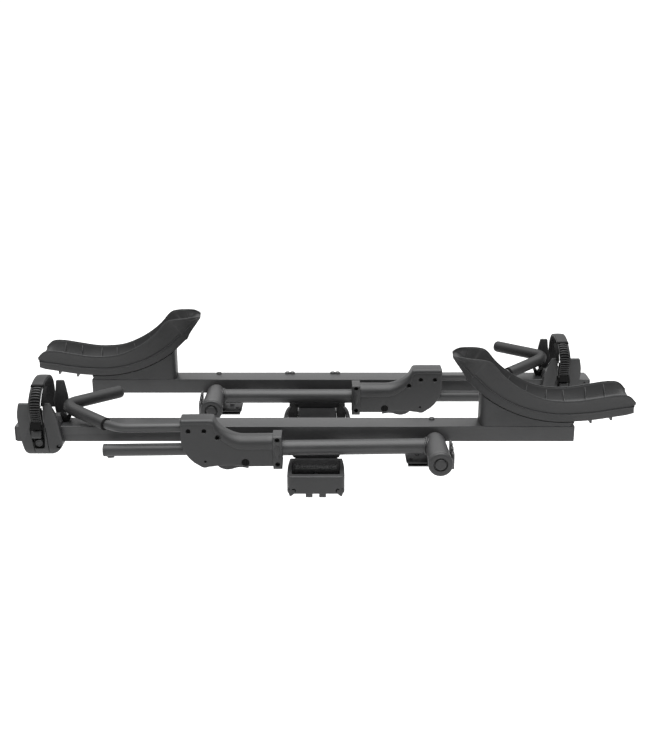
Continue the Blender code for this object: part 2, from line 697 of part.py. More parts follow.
def housing_outline():
    """Side view of the carriage shell, from the arm's hinge."""
    left, right = HOUSING_LEFT, HOUSING_RIGHT
    points = [(left, 0.030), (left, HOUSING_TOP - 0.003), (left + 0.003, HOUSING_TOP)]
    points += [(-0.514, HOUSING_TOP), (-0.506, HOUSING_TOP - 0.005)]
    points += arc((-0.438, 0.125), 0.090, 222, 268, 6)
    points += [(right, SLEEVE_TOP), (right, SLEEVE_LOW), (-0.432, SLEEVE_LOW)]
    points += [(-0.470, SLEEVE_LOW + 0.004), (-0.505, SLEEVE_LOW + 0.002)]
    points += arc((-0.534, -0.022), 0.0155, 300, 250, 3)
    points += arc((-0.500, 0.040), 0.0860, 230, 186, 6)
    return points


def make_housing(tray):
    """The sliding carriage: a shell round the arm below and round the hook rod above."""
    half = HOUSING_HALF
    shell = new_object("shell", plate(housing_outline(), -half, half, "XZ"), None)
    for v in shell.data.vertices:
        v.co += arm_point(0, 0, 0)
    bevel(shell, 0.0045, 2, 50)
    rod_bore = rod(HOOK_ROD_RADIUS + GAP, -0.65, -0.505, arm_point(0, 0, HOOK_ROD_HEIGHT), "X", 20)
    cut(shell, new_object("rod_bore", rod_bore, None))
    tube_bore = rod(ARM_TUBE_RADIUS + 0.0005, -0.65, -0.30, arm_point(0, 0, 0), "X", 24)
    cut(shell, new_object("tube_bore", tube_bore, None))
    pocket = box(arm_point(-0.512, -0.0125, -0.060), arm_point(-0.425, 0.0125, -0.0190))
    cut(shell, new_object("pocket", pocket, None))
    screw_hole = rod(0.0036, -half - 0.01, half - 0.005, arm_point(*TRIGGER_HINGE), "Y", 12)
    cut(shell, new_object("screw_hole", screw_hole, None))
    tray.place(shell, "carriage_housing", BLACK_PLASTIC, arm_point(-0.5, 0, 0), True)


def make_collar(tray):
    """The clamp ring that closes the carriage round the arm's outer tube."""
    low, high = HOUSING_RIGHT + GAP, COLLAR_RIGHT
    outline = [(-0.0265, -0.034), (-0.019, -0.042), (0.019, -0.042), (0.0265, -0.034)]
    outline += [(0.0265, 0.034), (0.019, 0.042), (-0.019, 0.042), (-0.0265, 0.034)]
    ring = new_object("ring", plate(outline, low, high, "YZ"), None)
    for v in ring.data.vertices:
        v.co += arm_point(0, 0, 0)
    bevel(ring, 0.002, 2, 50)
    bore = rod(ARM_TUBE_RADIUS + 0.0005, -0.45, -0.30, arm_point(0, 0, 0), "X", 24)
    cut(ring, new_object("bore", bore, None))
    tray.place(ring, "carriage_collar", BLACK_PLASTIC, arm_point(-0.5, 0, 0), True)


def make_trigger(tray):
    """The release lever in the carriage's pocket, hinged near its tip."""
    x, _, z = TRIGGER_HINGE
    outline = [(-0.507, -0.0270), (-0.5065, -0.0355)]
    outline += [(-0.498, -0.0425), (-0.486, -0.0465), (-0.472, -0.0450), (-0.456, -0.0400)]
    outline += [(-0.434, -0.0430), (-0.4335, -0.0375), (-0.436, -0.0300), (-0.441, -0.0225)]
    lever = new_object("lever", plate(outline, -0.0112, 0.0112, "XZ"), None)
    for v in lever.data.vertices:
        v.co += arm_point(0, 0, 0)
    cut(lever, new_object("hole", rod(0.0036, -0.1, 0.1, arm_point(x, 0, z), "Y", 12), None))
    tray.place(lever, "release_trigger", BLACK_PLASTIC, arm_point(x, 0, z), True, edge=0.0006)
    half = HOUSING_HALF
    head = rod(0.0080, -half - 0.0022, -half - GAP, arm_point(x, 0, z), "Y", 16)
    screw = merged("screw", rod(0.0032, -half - 0.001, half - 0.006, arm_point(x, 0, z), "Y", 12), head)
    tray.place(screw, "trigger_screw", ZINC, arm_point(x, 0, z), True)


def make_hook(tray):
    """The bent bar that the carriage carries and the soft sleeve over its hook."""
    z = HOOK_ROD_HEIGHT
    start = arm_point(-0.516, 0, z)
    bend_in = arm_point(-0.728, 0, z + 0.0005)
    sleeve_start = Vector((-0.437, -0.024, ARM_Z + z + 0.001))
    elbow = Vector((-0.548, 0.040, ARM_Z + z + 0.0260))
    tip = Vector((-0.423, 0.130, ARM_Z + z + 0.0280))
    inner_tip = elbow + (tip - elbow) * 0.93
    path = round_corners([start, bend_in, sleeve_start, elbow, inner_tip], 0.034, 5)
    bar = new_object("bar", wire(path, HOOK_ROD_RADIUS - 0.0008, 12), None)
    tray.place(bar, "hook_rod", POWDER_COAT, arm_point(-0.5, 0, 0), True)
    soft_path = round_corners([sleeve_start, elbow, tip], 0.034, 6)
    sheath = new_object("sheath", wire(soft_path, SHEATH_RADIUS, 14), None)
    bore_path = [p for p in path if (p - start).length > 0.18]
    bore = wire(bore_path[:-1] + [path[-1] + (path[-1] - path[-2]).normalized() * 0.001], HOOK_ROD_RADIUS, 12)
    cut(sheath, new_object("bore", bore, None))
    tray.place(sheath, "hook_sheath", SOFT_RUBBER, arm_point(-0.5, 0, 0), True)


# ---- strap cradle -------------------------------------------------------------------------
def make_strap_cradle(tray):
    """A saddle round the beam with two pairs of wings that the wheel drops between."""
    section = [(-0.0150, -0.0180), (-0.0080, -0.0290), (0.0680, -0.0290), (0.0750, -0.0180)]
    section += [(0.0775, 0.0620), (0.0680, 0.0620), (0.0635, 0.0540), (0.0540, 0.0440)]
    section += [(0.0060, 0.0440), (-0.0030, 0.0560), (-0.0070, 0.1000), (-0.0165, 0.1000)]
    x = tray.strap_x
    body = new_object("body", plate(section, x - 0.06, x + 0.07, "YZ"), None)
    front = [(x - 0.0400, 0.101), (x - 0.0460, 0.072), (x - 0.0410, 0.005), (x - 0.0350, -0.016)]
    front += [(x - 0.0200, -0.030), (x + 0.0240, -0.030), (x + 0.0450, -0.020), (x + 0.0560, -0.004)]
    front += [(x + 0.0560, 0.005), (x + 0.0470, 0.070), (x + 0.0340, 0.101)]
    shape = plate(front, -0.05, 0.15, "XZ")
    cut(body, new_object("shape", shape, None), "INTERSECT")
    tunnel = box((x - 0.1, -0.0005, -0.0005), (x + 0.1, BEAM_DEPTH + 0.0005, BEAM_HEIGHT + 0.0005))
    cut(body, new_object("tunnel", tunnel, None))
    groove = box((x - 0.0140, -0.0300, -0.0120), (x + 0.0165, -0.0062, 0.1200))
    cut(body, new_object("groove", groove, None))
    far_groove = box((x - 0.0140, 0.0480, 0.0500), (x + 0.0165, 0.1000, 0.1200))
    cut(body, new_object("far_groove", far_groove, None))
    gap = box((x - 0.0140, -0.0300, 0.0500), (x + 0.0165, 0.0300, 0.1200))
    cut(body, new_object("gap", gap, None))
    tray.place(body, "strap_cradle", BLACK_PLASTIC, (x, BEAM_MID, 0))


def make_cradle_lock(tray):
    """The tall lever on the far side that clamps the strap cradle to the beam."""
    x = tray.strap_x + 0.036
    outline = [(x - 0.009, 0.125), (x + 0.010, 0.125), (x + 0.014, 0.105), (x + 0.018, 0.079)]
    outline += [(x + 0.012, 0.055), (x + 0.008, 0.028), (x, 0.022), (x - 0.008, 0.028)]
    outline += [(x - 0.012, 0.050), (x - 0.017, 0.076), (x - 0.012, 0.100)]
    lever = plate(outline, 0.0792, 0.0872, "XZ")
    tray.place(new_object("lock", lever, None), "cradle_lock", BLACK_PLASTIC, (x, 0.0832, 0.0260), edge=0.0010)


def strap_path(x):
    """The loop over the wheel rim, from the buckle up, over and down the far side."""
    points = [(-0.0105, 0.0365), (-0.0200, 0.060), (-0.0330, 0.090), (-0.0330, 0.112)]
    points += [(-0.0180, 0.133), (0.006, 0.144), (0.040, 0.147), (0.072, 0.138), (0.089, 0.116)]
    points += [(0.0915, 0.090), (0.0840, 0.0560)]
    path = [Vector((x + 0.001, y, z)) for y, z in points]
    return round_corners(path, 0.014, 3)


def make_straps(tray):
    """The ladder strap, and the smooth sleeve that slides over it."""
    path = strap_path(tray.strap_x)
    split = next(i for i, p in enumerate(path) if p.z > 0.128)
    strap = new_object("strap", ribbon(path, STRAP_WIDTH / 2 - 0.001, 0.0025), None)
    tray.place(strap, "ladder_strap", SOFT_RUBBER, (tray.strap_x, BEAM_MID, 0))
    cover = path[split:-2]
    lifted = []
    for n, point in enumerate(cover):
        ahead = cover[min(n + 1, len(cover) - 1)] - cover[max(n - 1, 0)]
        out = Vector((0, -ahead.z, ahead.y)).normalized()
        lifted.append(point - out * 0.0022)
    sleeve = new_object("sleeve", ribbon(lifted, STRAP_WIDTH / 2 + 0.0015, 0.0069, 0.0018), None)
    tray.place(sleeve, "strap_sleeve", SOFT_RUBBER, (tray.strap_x, BEAM_MID, 0))


def make_buckle(tray):
    """The strap's ratchet lever and the round button under it."""
    x = tray.strap_x
    outline = [(-0.0200, 0.0140), (-0.0085, 0.0140), (-0.0070, 0.0170), (-0.0070, 0.0285)]
    outline += [(-0.0110, 0.0285), (-0.0180, 0.0335), (-0.0215, 0.0300)]
    lever = plate(outline, x - 0.0105, x + 0.0125, "YZ")
    tray.place(new_object("buckle", lever, None), "buckle", BLACK_PLASTIC, (x, -0.0120, 0.0330), edge=0.0008)
    button = rod(0.0085, -0.0172, -0.0085, (x + 0.001, 0, 0.0030), "Y", 20, 0.0015)
    tray.place(new_object("button", button, None), "buckle_button", BLACK_PLASTIC, (x + 0.001, -0.011, 0.003))


# ---- assembly -----------------------------------------------------------------------------
def make_tray(tray):
    make_beam(tray)
    make_wheel_cradle(tray)
    make_pedestal(tray)
    make_pivot_bracket(tray)
    make_arm_tube(tray)
    make_pivot_bolt(tray)
    make_ratchet_bar(tray)
    make_housing(tray)
    make_collar(tray)
    make_trigger(tray)
    make_hook(tray)
    make_strap_cradle(tray)
    make_cradle_lock(tray)
    make_straps(tray)
    make_buckle(tray)


clear_scene()
PARTS = collection(RACK)
POWDER_COAT = material("powder_coat", 0.055, 0.55, 0.2)
BLACK_PLASTIC = material("black_plastic", 0.045, 0.6)
SOFT_RUBBER = material("soft_rubber", 0.035, 0.75)
ZINC = material("dark_zinc", 0.09, 0.45, 0.7)

OUTER = Tray("outer", OUTER_TRAY, False, ARM_SAG, OUTER_STRAP_X)
INNER = Tray("inner", INNER_TRAY, True, 0.0, INNER_STRAP_X)

make_shank()
make_hitch_pin()
make_wobble_drive()
make_tilt_yoke()
make_tilt_bolt()
make_spine()
make_clevis()
make_handle()
make_release()
make_saddle(OUTER, "outer_saddle")
make_saddle(INNER, "inner_saddle")
make_rails()
make_tray(OUTER)
make_tray(INNER)
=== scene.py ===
"""Looks of the hitch mounted bike rack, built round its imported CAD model. Metres, +Z up.

Each tray is drawn once in its own frame: x runs along the beam towards the wheel cradle, y = 0 is
the beam's rear face and z = 0 its underside. The inner tray is the mirror image of the outer one.
"""

import json
from functools import partial
from math import cos, pi, radians, sin, sqrt

import bmesh
import bpy
from mathutils import Matrix, Vector

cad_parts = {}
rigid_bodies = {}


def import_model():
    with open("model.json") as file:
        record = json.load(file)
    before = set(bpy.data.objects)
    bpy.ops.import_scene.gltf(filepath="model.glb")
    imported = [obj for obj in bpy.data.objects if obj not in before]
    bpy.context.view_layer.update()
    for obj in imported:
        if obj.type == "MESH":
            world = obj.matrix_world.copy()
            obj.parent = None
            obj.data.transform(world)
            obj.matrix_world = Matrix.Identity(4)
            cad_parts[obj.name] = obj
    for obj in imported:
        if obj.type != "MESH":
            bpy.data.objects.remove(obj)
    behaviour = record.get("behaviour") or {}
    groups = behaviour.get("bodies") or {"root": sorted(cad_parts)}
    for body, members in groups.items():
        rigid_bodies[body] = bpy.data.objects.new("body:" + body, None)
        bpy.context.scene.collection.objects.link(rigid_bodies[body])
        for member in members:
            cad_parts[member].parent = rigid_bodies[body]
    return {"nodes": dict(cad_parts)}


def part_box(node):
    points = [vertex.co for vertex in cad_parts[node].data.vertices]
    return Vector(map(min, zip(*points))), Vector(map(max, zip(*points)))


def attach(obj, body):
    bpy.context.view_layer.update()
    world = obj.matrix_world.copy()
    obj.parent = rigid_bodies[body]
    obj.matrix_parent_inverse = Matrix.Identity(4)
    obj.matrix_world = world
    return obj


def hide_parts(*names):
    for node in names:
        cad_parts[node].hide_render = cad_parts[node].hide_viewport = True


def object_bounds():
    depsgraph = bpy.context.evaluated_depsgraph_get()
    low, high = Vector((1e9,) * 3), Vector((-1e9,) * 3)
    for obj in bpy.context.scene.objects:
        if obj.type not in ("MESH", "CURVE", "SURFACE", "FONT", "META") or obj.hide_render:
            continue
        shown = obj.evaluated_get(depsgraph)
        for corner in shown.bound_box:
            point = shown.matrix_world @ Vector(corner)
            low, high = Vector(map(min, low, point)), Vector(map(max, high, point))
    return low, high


for item in list(bpy.data.objects):
    bpy.data.objects.remove(item, do_unlink=True)

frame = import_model()
CAD_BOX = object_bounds()

# ---- dimensions shared with the CAD ----
BEAM_HALF = 0.655
BEAM_DEPTH = 0.06
BEAM_HEIGHT = 0.038
BEAM_MID = 0.03
ARM_X, ARM_Y, ARM_Z = 0.326, -0.047, 0.0085
HINGE = Vector((ARM_X, ARM_Y, ARM_Z))
ARM_SAG = radians(0.8)
BARREL_RADIUS = 0.028
BARREL_REAR, BARREL_FRONT = -0.01, -0.152
TUBE_RADIUS, TUBE_END = 0.018, -0.548
BAR_RADIUS, BAR_END = 0.0145, -0.769
ROD_Z = 0.054
SHELL_HALF, SHELL_FLAT = 0.0235, 0.0205
SHELL_LEFT, SHELL_RIGHT, SHELL_TOP = -0.586, -0.3765, 0.08
SLEEVE_TOP, SLEEVE_LOW = 0.0355, -0.0385
TRIGGER = (-0.44, -0.0275)
OUTER_STRAP_X, INNER_STRAP_X = -0.6, -0.583
SPINE_HALF, SPINE_TOP, SPINE_LOW = 0.051, 0.079, 0.033
RAIL_REAR = -0.655
GRIP_TOP, GRIP_UNDER, GRIP_SCREW_X = 0.0805, 0.037, 0.0505
TROUGH_CENTRE, TROUGH_RADIUS = (0.628, 0.358), 0.288
TROUGH_SKIRT, SEAT_GAP = 0.021, 0.0012
SLIDE_GAP = 0.0005
COLLAR_MID = -0.3655
RUNGS_FROM, SIDE_SHADE_FROM, SLEEVE_FROM = 0.056, 0.099, 0.1375

# ---- the studio ----
CAMERA_SPOT = (0.021, -3.095, 1.099)
CAMERA_PITCH, CAMERA_LENS, SENSOR_WIDTH = 71.341, 52.64, 36
SUN_STRENGTH, SUN_SPREAD, SUN_TILT = 6.0, 70, 6
BACKDROP_GLOW, ROOM_GLOW = 1.05, 0.22
FLOOR_SIZE, FLOOR_DROP, FLOOR_TONE = 600, 1.3, 0.68


# ---- materials ----
def node(tree, kind, settings=None, inputs=None):
    made = tree.nodes.new("ShaderNode" + kind)
    for key, value in (settings or {}).items():
        setattr(made, key, value)
    for key, value in (inputs or {}).items():
        if isinstance(value, bpy.types.NodeSocket):
            tree.links.new(value, made.inputs[key])
        else:
            made.inputs[key].default_value = value
    return made


def ramp_range(tree, value, low, high, to_low, to_high):
    made = node(tree, "MapRange", {}, {0: value, 1: low, 2: high, 3: to_low, 4: to_high})
    return made.outputs[0]


def blend_math(tree, operation, a, b):
    return node(tree, "Math", {"operation": operation}, {0: a, 1: b}).outputs[0]


def surface(name, shade, rough, grain, grain_size, metallic=0.0, edge_wear_and_highlight_amount=0.35, scratch=0.3, spec=0.5):
    """A worked finish: grain bump, cloudy roughness, edges lightened both by rubbed wear and as a
    painted highlight, fine scuffs and settled dust.
    """
    made = bpy.data.materials.new(name)
    made.use_nodes = True
    tree = made.node_tree
    shader = tree.nodes["Principled BSDF"]
    spot = node(tree, "TexCoord").outputs["Object"]
    ramp = partial(ramp_range, tree)
    times, plus, less = (partial(blend_math, tree, how) for how in ("MULTIPLY", "ADD", "SUBTRACT"))

    def noise(scale, detail, roughness=0.5, where=spot):
        inputs = {"Vector": where, "Scale": scale, "Detail": detail, "Roughness": roughness}
        return node(tree, "TexNoise", {}, inputs).outputs[0]

    def tint(base, colour, factor):
        mixed = node(tree, "Mix", {"data_type": "RGBA"}, {0: factor, 6: base, 7: (*colour, 1)})
        return mixed.outputs[2]

    fine, cloud, broad = noise(1 / grain_size, 3, 0.6), noise(14, 5, 0.55), noise(3.1, 3)
    pits = node(tree, "TexVoronoi", {}, {"Vector": spot, "Scale": 0.55 / grain_size}).outputs[0]
    stretched = node(tree, "Mapping", {}, {"Vector": spot, "Scale": (9, 160, 120)}).outputs[0]
    scuffs = ramp(noise(1.4, 6, 0.7, stretched), 0.62, 0.74, 0, 1)
    geometry = node(tree, "NewGeometry").outputs
    broken = ramp(cloud, 0.35, 0.65, 0.35, 1)
    # Lighter colour on sharp edges: partly rubbed wear, partly a painted edge highlight.
    edge_wear_and_highlight_mask = times(ramp(geometry["Pointiness"], 0.515, 0.6, 0, 1), broken)
    facing = node(tree, "SeparateXYZ", {}, {0: geometry["Normal"]}).outputs[2]
    dust = times(ramp(facing, 0.35, 1, 0, 1), broken)

    tone = times(ramp(cloud, 0.3, 0.7, 0.9, 1.1), ramp(broad, 0.3, 0.7, 0.94, 1.06))
    tone = times(tone, ramp(fine, 0.3, 0.7, 0.93, 1.07))
    settings = {"data_type": "RGBA", "blend_type": "MULTIPLY"}
    base = node(tree, "Mix", settings, {0: 1.0, 6: (*shade, 1), 7: tone}).outputs[2]
    lighter = tuple(min(1, c * 1.9 + 0.012) for c in shade)
    # Edges painted lighter, for rubbed wear and as a painted highlight together.
    worn_and_highlit = tint(base, lighter, times(edge_wear_and_highlight_mask, edge_wear_and_highlight_amount))
    scuffed = tint(worn_and_highlit, lighter, times(scuffs, 0.22 * scratch))
    dusty = tint(scuffed, tuple(c * 1.25 + 0.01 for c in shade), times(dust, 0.35))
    tree.links.new(dusty, shader.inputs["Base Color"])

    gloss = ramp(cloud, 0.3, 0.7, rough - 0.06, rough + 0.06)
    gloss = plus(gloss, ramp(fine, 0.3, 0.7, -0.03, 0.03))
    gloss = plus(less(gloss, times(edge_wear_and_highlight_mask, 0.1)), times(scuffs, 0.08 * scratch))
    tree.links.new(gloss, shader.inputs["Roughness"])

    height = less(less(fine, times(pits, 0.5)), times(scuffs, 0.5 * scratch))
    inputs = {"Strength": grain, "Distance": grain_size * 0.35, "Height": height}
    bump = node(tree, "Bump", {}, inputs)
    tree.links.new(bump.outputs[0], shader.inputs["Normal"])
    shader.inputs["Metallic"].default_value = metallic
    shader.inputs["Specular IOR Level"].default_value = spec
    return made


COAT = surface("powder_coat", (0.027, 0.0272, 0.0278), 0.44, 0.35, 0.0011,
               edge_wear_and_highlight_amount=0.25, scratch=0.4, spec=0.38)
PLASTIC = surface("moulded_plastic", (0.021, 0.0212, 0.0217), 0.48, 0.45, 0.0008,
                  edge_wear_and_highlight_amount=0.45, scratch=0.25, spec=0.38)
TOUGH = surface("trough_plastic", (0.02, 0.0202, 0.0207), 0.54, 0.6, 0.0012,
                edge_wear_and_highlight_amount=0.4, scratch=0.6, spec=0.35)
RUBBER = surface("soft_rubber", (0.013, 0.0131, 0.0134), 0.58, 0.4, 0.0009,
                 edge_wear_and_highlight_amount=0.2, scratch=0.1, spec=0.33)
ZINC = surface("dark_zinc", (0.075, 0.075, 0.078), 0.38, 0.2, 0.0006,
               metallic=0.85, edge_wear_and_highlight_amount=0.5, scratch=0.8)
# Near-black finish: painted shade on dark sheets put where only shade falls, and the colour of the
# dark screws and bolts.
SHADE = surface("recess_black", (0.004, 0.004, 0.004), 0.75, 0.3, 0.0008,
                edge_wear_and_highlight_amount=0.0, scratch=0.0, spec=0.12)
SLOTS = {COAT: "powder_coat", PLASTIC: "black_plastic", TOUGH: "black_plastic"}
SLOTS.update({RUBBER: "soft_rubber", ZINC: "dark_zinc", SHADE: "black_plastic"})


# ---- mesh helpers: each shape is a bmesh ----
def box(low, high):
    bm = bmesh.new()
    bmesh.ops.create_cube(bm, size=1)
    low, high = Vector(low), Vector(high)
    for v in bm.verts:
        v.co = Vector((low[i] + (v.co[i] + 0.5) * (high[i] - low[i]) for i in range(3)))
    return bm


def lathe(profile, centre, axis="Z", steps=40):
    """Turns (radius, distance) points about an axis; a profile that ends on it is solid."""
    turns = {"X": Matrix.Rotation(pi / 2, 3, "Y"), "Y": Matrix.Rotation(-pi / 2, 3, "X")}
    turn = turns.get(axis, Matrix.Identity(3))
    bm = bmesh.new()
    rings = []
    for radius, height in profile:
        count = 1 if radius < 1e-7 else steps
        ring = []
        for i in range(count):
            a = 2 * pi * i / steps
            spot = turn @ Vector((radius * cos(a), radius * sin(a), height))
            ring.append(bm.verts.new(Vector(centre) + spot))
        rings.append(ring)
    last = len(rings) if profile[0][0] > 1e-7 else len(rings) - 1
    for n in range(last):
        a, b = rings[n], rings[(n + 1) % len(rings)]
        for i in range(steps):
            j = (i + 1) % steps
            corners = [a[i % len(a)], a[j % len(a)], b[j % len(b)], b[i % len(b)]]
            corners = list(dict.fromkeys(corners))
            if len(corners) > 2:
                bm.faces.new(corners)
    return bm


def rod(radius, start, end, centre, axis, steps=40, fillet=0.0):
    """A round bar between two stations on an axis through centre, with rounded rims."""
    if not fillet:
        return lathe([(0, start), (radius, start), (radius, end), (0, end)], centre, axis, steps)
    profile = [(0, start)]
    for i in range(5):
        a = pi / 2 * i / 4
        profile.append((radius - fillet + fillet * sin(a), start + fillet - fillet * cos(a)))
    profile += [(r, start + end - h) for r, h in reversed(profile)]
    return lathe(profile, centre, axis, steps)


def plate(outline, low, high, plane="XZ"):
    """A flat plate: the outline in one plane, pulled from low to high across it."""
    order = {"XZ": (0, 2, 1), "YZ": (1, 2, 0), "XY": (0, 1, 2)}[plane]
    bm = bmesh.new()
    rings = []
    for depth in (low, high):
        ring = []
        for a, b in outline:
            point = [0, 0, 0]
            point[order[0]], point[order[1]], point[order[2]] = a, b, depth
            ring.append(bm.verts.new(point))
        rings.append(ring)
        bm.faces.new(ring)
    for i in range(len(outline)):
        j = (i + 1) % len(outline)
        bm.faces.new((rings[0][i], rings[0][j], rings[1][j], rings[1][i]))
    return bm


def oblong(left, base, right, top):
    """The corners of a rectangle, anticlockwise from its lower left."""
    return [(left, base), (right, base), (right, top), (left, top)]


def shift(outline, across, up=0.0):
    return [(a + across, b + up) for a, b in outline]


def arc(centre, radius, start, end, steps):
    angles = [radians(start + (end - start) * i / steps) for i in range(steps + 1)]
    return [(centre[0] + radius * cos(a), centre[1] + radius * sin(a)) for a in angles]


def rounded(outline, radius, steps=5):
    """A closed outline with its corners turned into arcs; radius may be one per corner."""
    made = []
    count = len(outline)
    for i, here in enumerate(outline):
        before, after = Vector(outline[i - 1]), Vector(outline[(i + 1) % count])
        here = Vector(here)
        size = radius[i] if isinstance(radius, (list, tuple)) else radius
        back, on = before - here, after - here
        reach = min(size, back.length * 0.49, on.length * 0.49)
        if reach < 1e-5:
            made.append(tuple(here))
            continue
        start, end = here + back.normalized() * reach, here + on.normalized() * reach
        for k in range(steps + 1):
            t = k / steps
            made.append(tuple(start * (1 - t) ** 2 + here * 2 * t * (1 - t) + end * t * t))
    return made


def loft(rings, around=False):
    """Skins a row of equal rings of points."""
    bm = bmesh.new()
    made = [[bm.verts.new(p) for p in ring] for ring in rings]
    count = len(made[0])
    pairs = list(zip(made, made[1:])) + ([(made[-1], made[0])] if around else [])
    for a, b in pairs:
        for i in range(count):
            j = (i + 1) % count
            bm.faces.new((a[i], a[j], b[j], b[i]))
    if not around:
        bm.faces.new(made[0])
        bm.faces.new(made[-1])
    return bm


def round_path(points, radius, steps=8):
    """Replaces each inner corner of a path with a curve of about this radius."""
    path = [Vector(points[0])]
    for before, here, after in zip(points, points[1:], points[2:]):
        before, here, after = Vector(before), Vector(here), Vector(after)
        back, on = before - here, after - here
        reach = min(radius, back.length * 0.48, on.length * 0.48)
        start, end = here + back.normalized() * reach, here + on.normalized() * reach
        for i in range(steps + 1):
            t = i / steps
            path.append(start * (1 - t) ** 2 + here * 2 * t * (1 - t) + end * t**2)
    path.append(Vector(points[-1]))
    return path


def spline(points, steps):
    """Catmull-Rom through rows of numbers."""
    made = []
    for i in range(len(points) - 1):
        a = points[max(i - 1, 0)]
        b, c = points[i], points[i + 1]
        d = points[min(i + 2, len(points) - 1)]
        for k in range(steps):
            t = k / steps
            row = []
            for p, q, r, s in zip(a, b, c, d):
                row.append(0.5 * (2 * q + (r - p) * t + (2 * p - 5 * q + 4 * r - s) * t * t
                                  + (3 * q - p - 3 * r + s) * t**3))
            made.append(tuple(row))
    made.append(tuple(points[-1]))
    return made


def sweep(path, radius, sides=20, around=False, start_round=0.0, end_round=0.0):
    """A round bar along a path; radius is a number or a function of the length run so far."""
    runs = [0.0]
    for a, b in zip(path, path[1:]):
        runs.append(runs[-1] + (b - a).length)
    rings = []
    normal = Vector((0, 0, 1))
    count = len(path)
    for n, point in enumerate(path):
        if around:
            ahead = path[(n + 1) % count] - path[n - 1]
        else:
            ahead = path[min(n + 1, count - 1)] - path[max(n - 1, 0)]
        ahead.normalize()
        normal = (normal - ahead * normal.dot(ahead)).normalized()
        across = ahead.cross(normal)
        size = radius(runs[n]) if callable(radius) else radius
        spots = [(point, size)]
        if n == 0 and start_round:
            spots = [(point + ahead * start_round * (1 - sin(a)), size - start_round * (1 - cos(a)))
                     for a in (pi / 2 * k / 5 for k in range(5, -1, -1))]
        if n == count - 1 and end_round:
            spots = [(point - ahead * end_round * (1 - sin(a)), size - end_round * (1 - cos(a)))
                     for a in (pi / 2 * k / 5 for k in range(6))]
        turns = [2 * pi * i / sides for i in range(sides)]
        for spot, reach in spots:
            rings.append([spot + (normal * cos(a) + across * sin(a)) * reach for a in turns])
    return loft(rings, around)


def joined(*shapes):
    """Several shapes in one bmesh."""
    whole = bmesh.new()
    for shape in shapes:
        mesh = bpy.data.meshes.new("part")
        shape.to_mesh(mesh)
        shape.free()
        whole.from_mesh(mesh)
        bpy.data.meshes.remove(mesh)
    return whole


def solid(bm, edge=0.0, segments=3, angle=30):
    """An object from a bmesh, with its edges rounded at once so that later cuts stay crisp."""
    bmesh.ops.remove_doubles(bm, verts=bm.verts, dist=1e-6)
    bmesh.ops.recalc_face_normals(bm, faces=bm.faces)
    mesh = bpy.data.meshes.new("shape")
    bm.to_mesh(mesh)
    bm.free()
    made = bpy.data.objects.new("shape", mesh)
    bpy.context.scene.collection.objects.link(made)
    if edge:
        mod = made.modifiers.new("round", "BEVEL")
        mod.width, mod.segments = edge, segments
        mod.limit_method, mod.angle_limit = "ANGLE", radians(angle)
        bake(made)
    return made


def bake(obj):
    """Applies an object's modifiers."""
    bpy.context.view_layer.update()
    graph = bpy.context.evaluated_depsgraph_get()
    mesh = bpy.data.meshes.new_from_object(obj.evaluated_get(graph))
    obj.modifiers.clear()
    obj.data = mesh
    return obj


def cut(obj, *shapes, how="DIFFERENCE"):
    for shape in shapes:
        tool = solid(shape)
        mod = obj.modifiers.new("cut", "BOOLEAN")
        mod.object, mod.operation, mod.solver = tool, how, "EXACT"
        bake(obj)
        bpy.data.objects.remove(tool, do_unlink=True)
    return obj


class Tray:
    """One tray's frame. Arm parts of the outer tray hang a little lower, at ARM_SAG."""

    def __init__(self, name, mirror, sag, strap_x):
        low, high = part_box(name + "_beam")
        self.name, self.mirror, self.sag, self.strap_x = name, mirror, sag, strap_x
        self.origin = Vector(((low.x + high.x) / 2, low.y, low.z))
        self.flip = Matrix.Diagonal((-1 if mirror else 1, 1, 1))

    def point(self, local, on_arm=False):
        local = Vector(local)
        if on_arm:
            local = HINGE + Matrix.Rotation(-self.sag, 3, "Y") @ (local - HINGE)
        return self.origin + self.flip @ local


def piece(name, shape, finish, body, tray=None, on_arm=False, stands_for=None, angle=35):
    """Places a shape in the world, gives it its finish and lets it ride on its body.

    On a tray, the piece, its own moving body and the node it stands for are named without the
    tray, and the tray's name is put in front here.
    """
    obj = solid(shape) if isinstance(shape, bmesh.types.BMesh) else shape
    if tray:
        for v in obj.data.vertices:
            v.co = tray.point(v.co, on_arm)
        if tray.mirror:
            obj.data.flip_normals()
        name = f"{tray.name}_{name}"
        body = body if body == "trays" else f"{tray.name}_{body}"
        stands_for = stands_for and f"{tray.name}_{stands_for}"
    obj.name = obj.data.name = name
    obj.data.materials.clear()
    obj.data.materials.append(finish)
    obj.data.shade_smooth()
    obj.data.set_sharp_from_angle(angle=radians(angle))
    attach(obj, body)
    if stands_for:
        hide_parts(stands_for)


def arm(x, y, z):
    """A point given from the arm's hinge, in the tray frame."""
    return Vector((ARM_X + x, ARM_Y + y, ARM_Z + z))


def recess(radius, depth, centre, axis="Y", lip=0.0008, sign=1):
    """A cutter for a round recess with a chamfered rim. sign says which way the surface looks."""
    beyond = 0.004
    profile = [(0, -beyond), (radius + lip + beyond, -beyond), (radius + lip, 0), (radius, lip)]
    profile += [(radius, depth), (0, depth)]
    return lathe([(r, h * sign) for r, h in profile], centre, axis, 24)


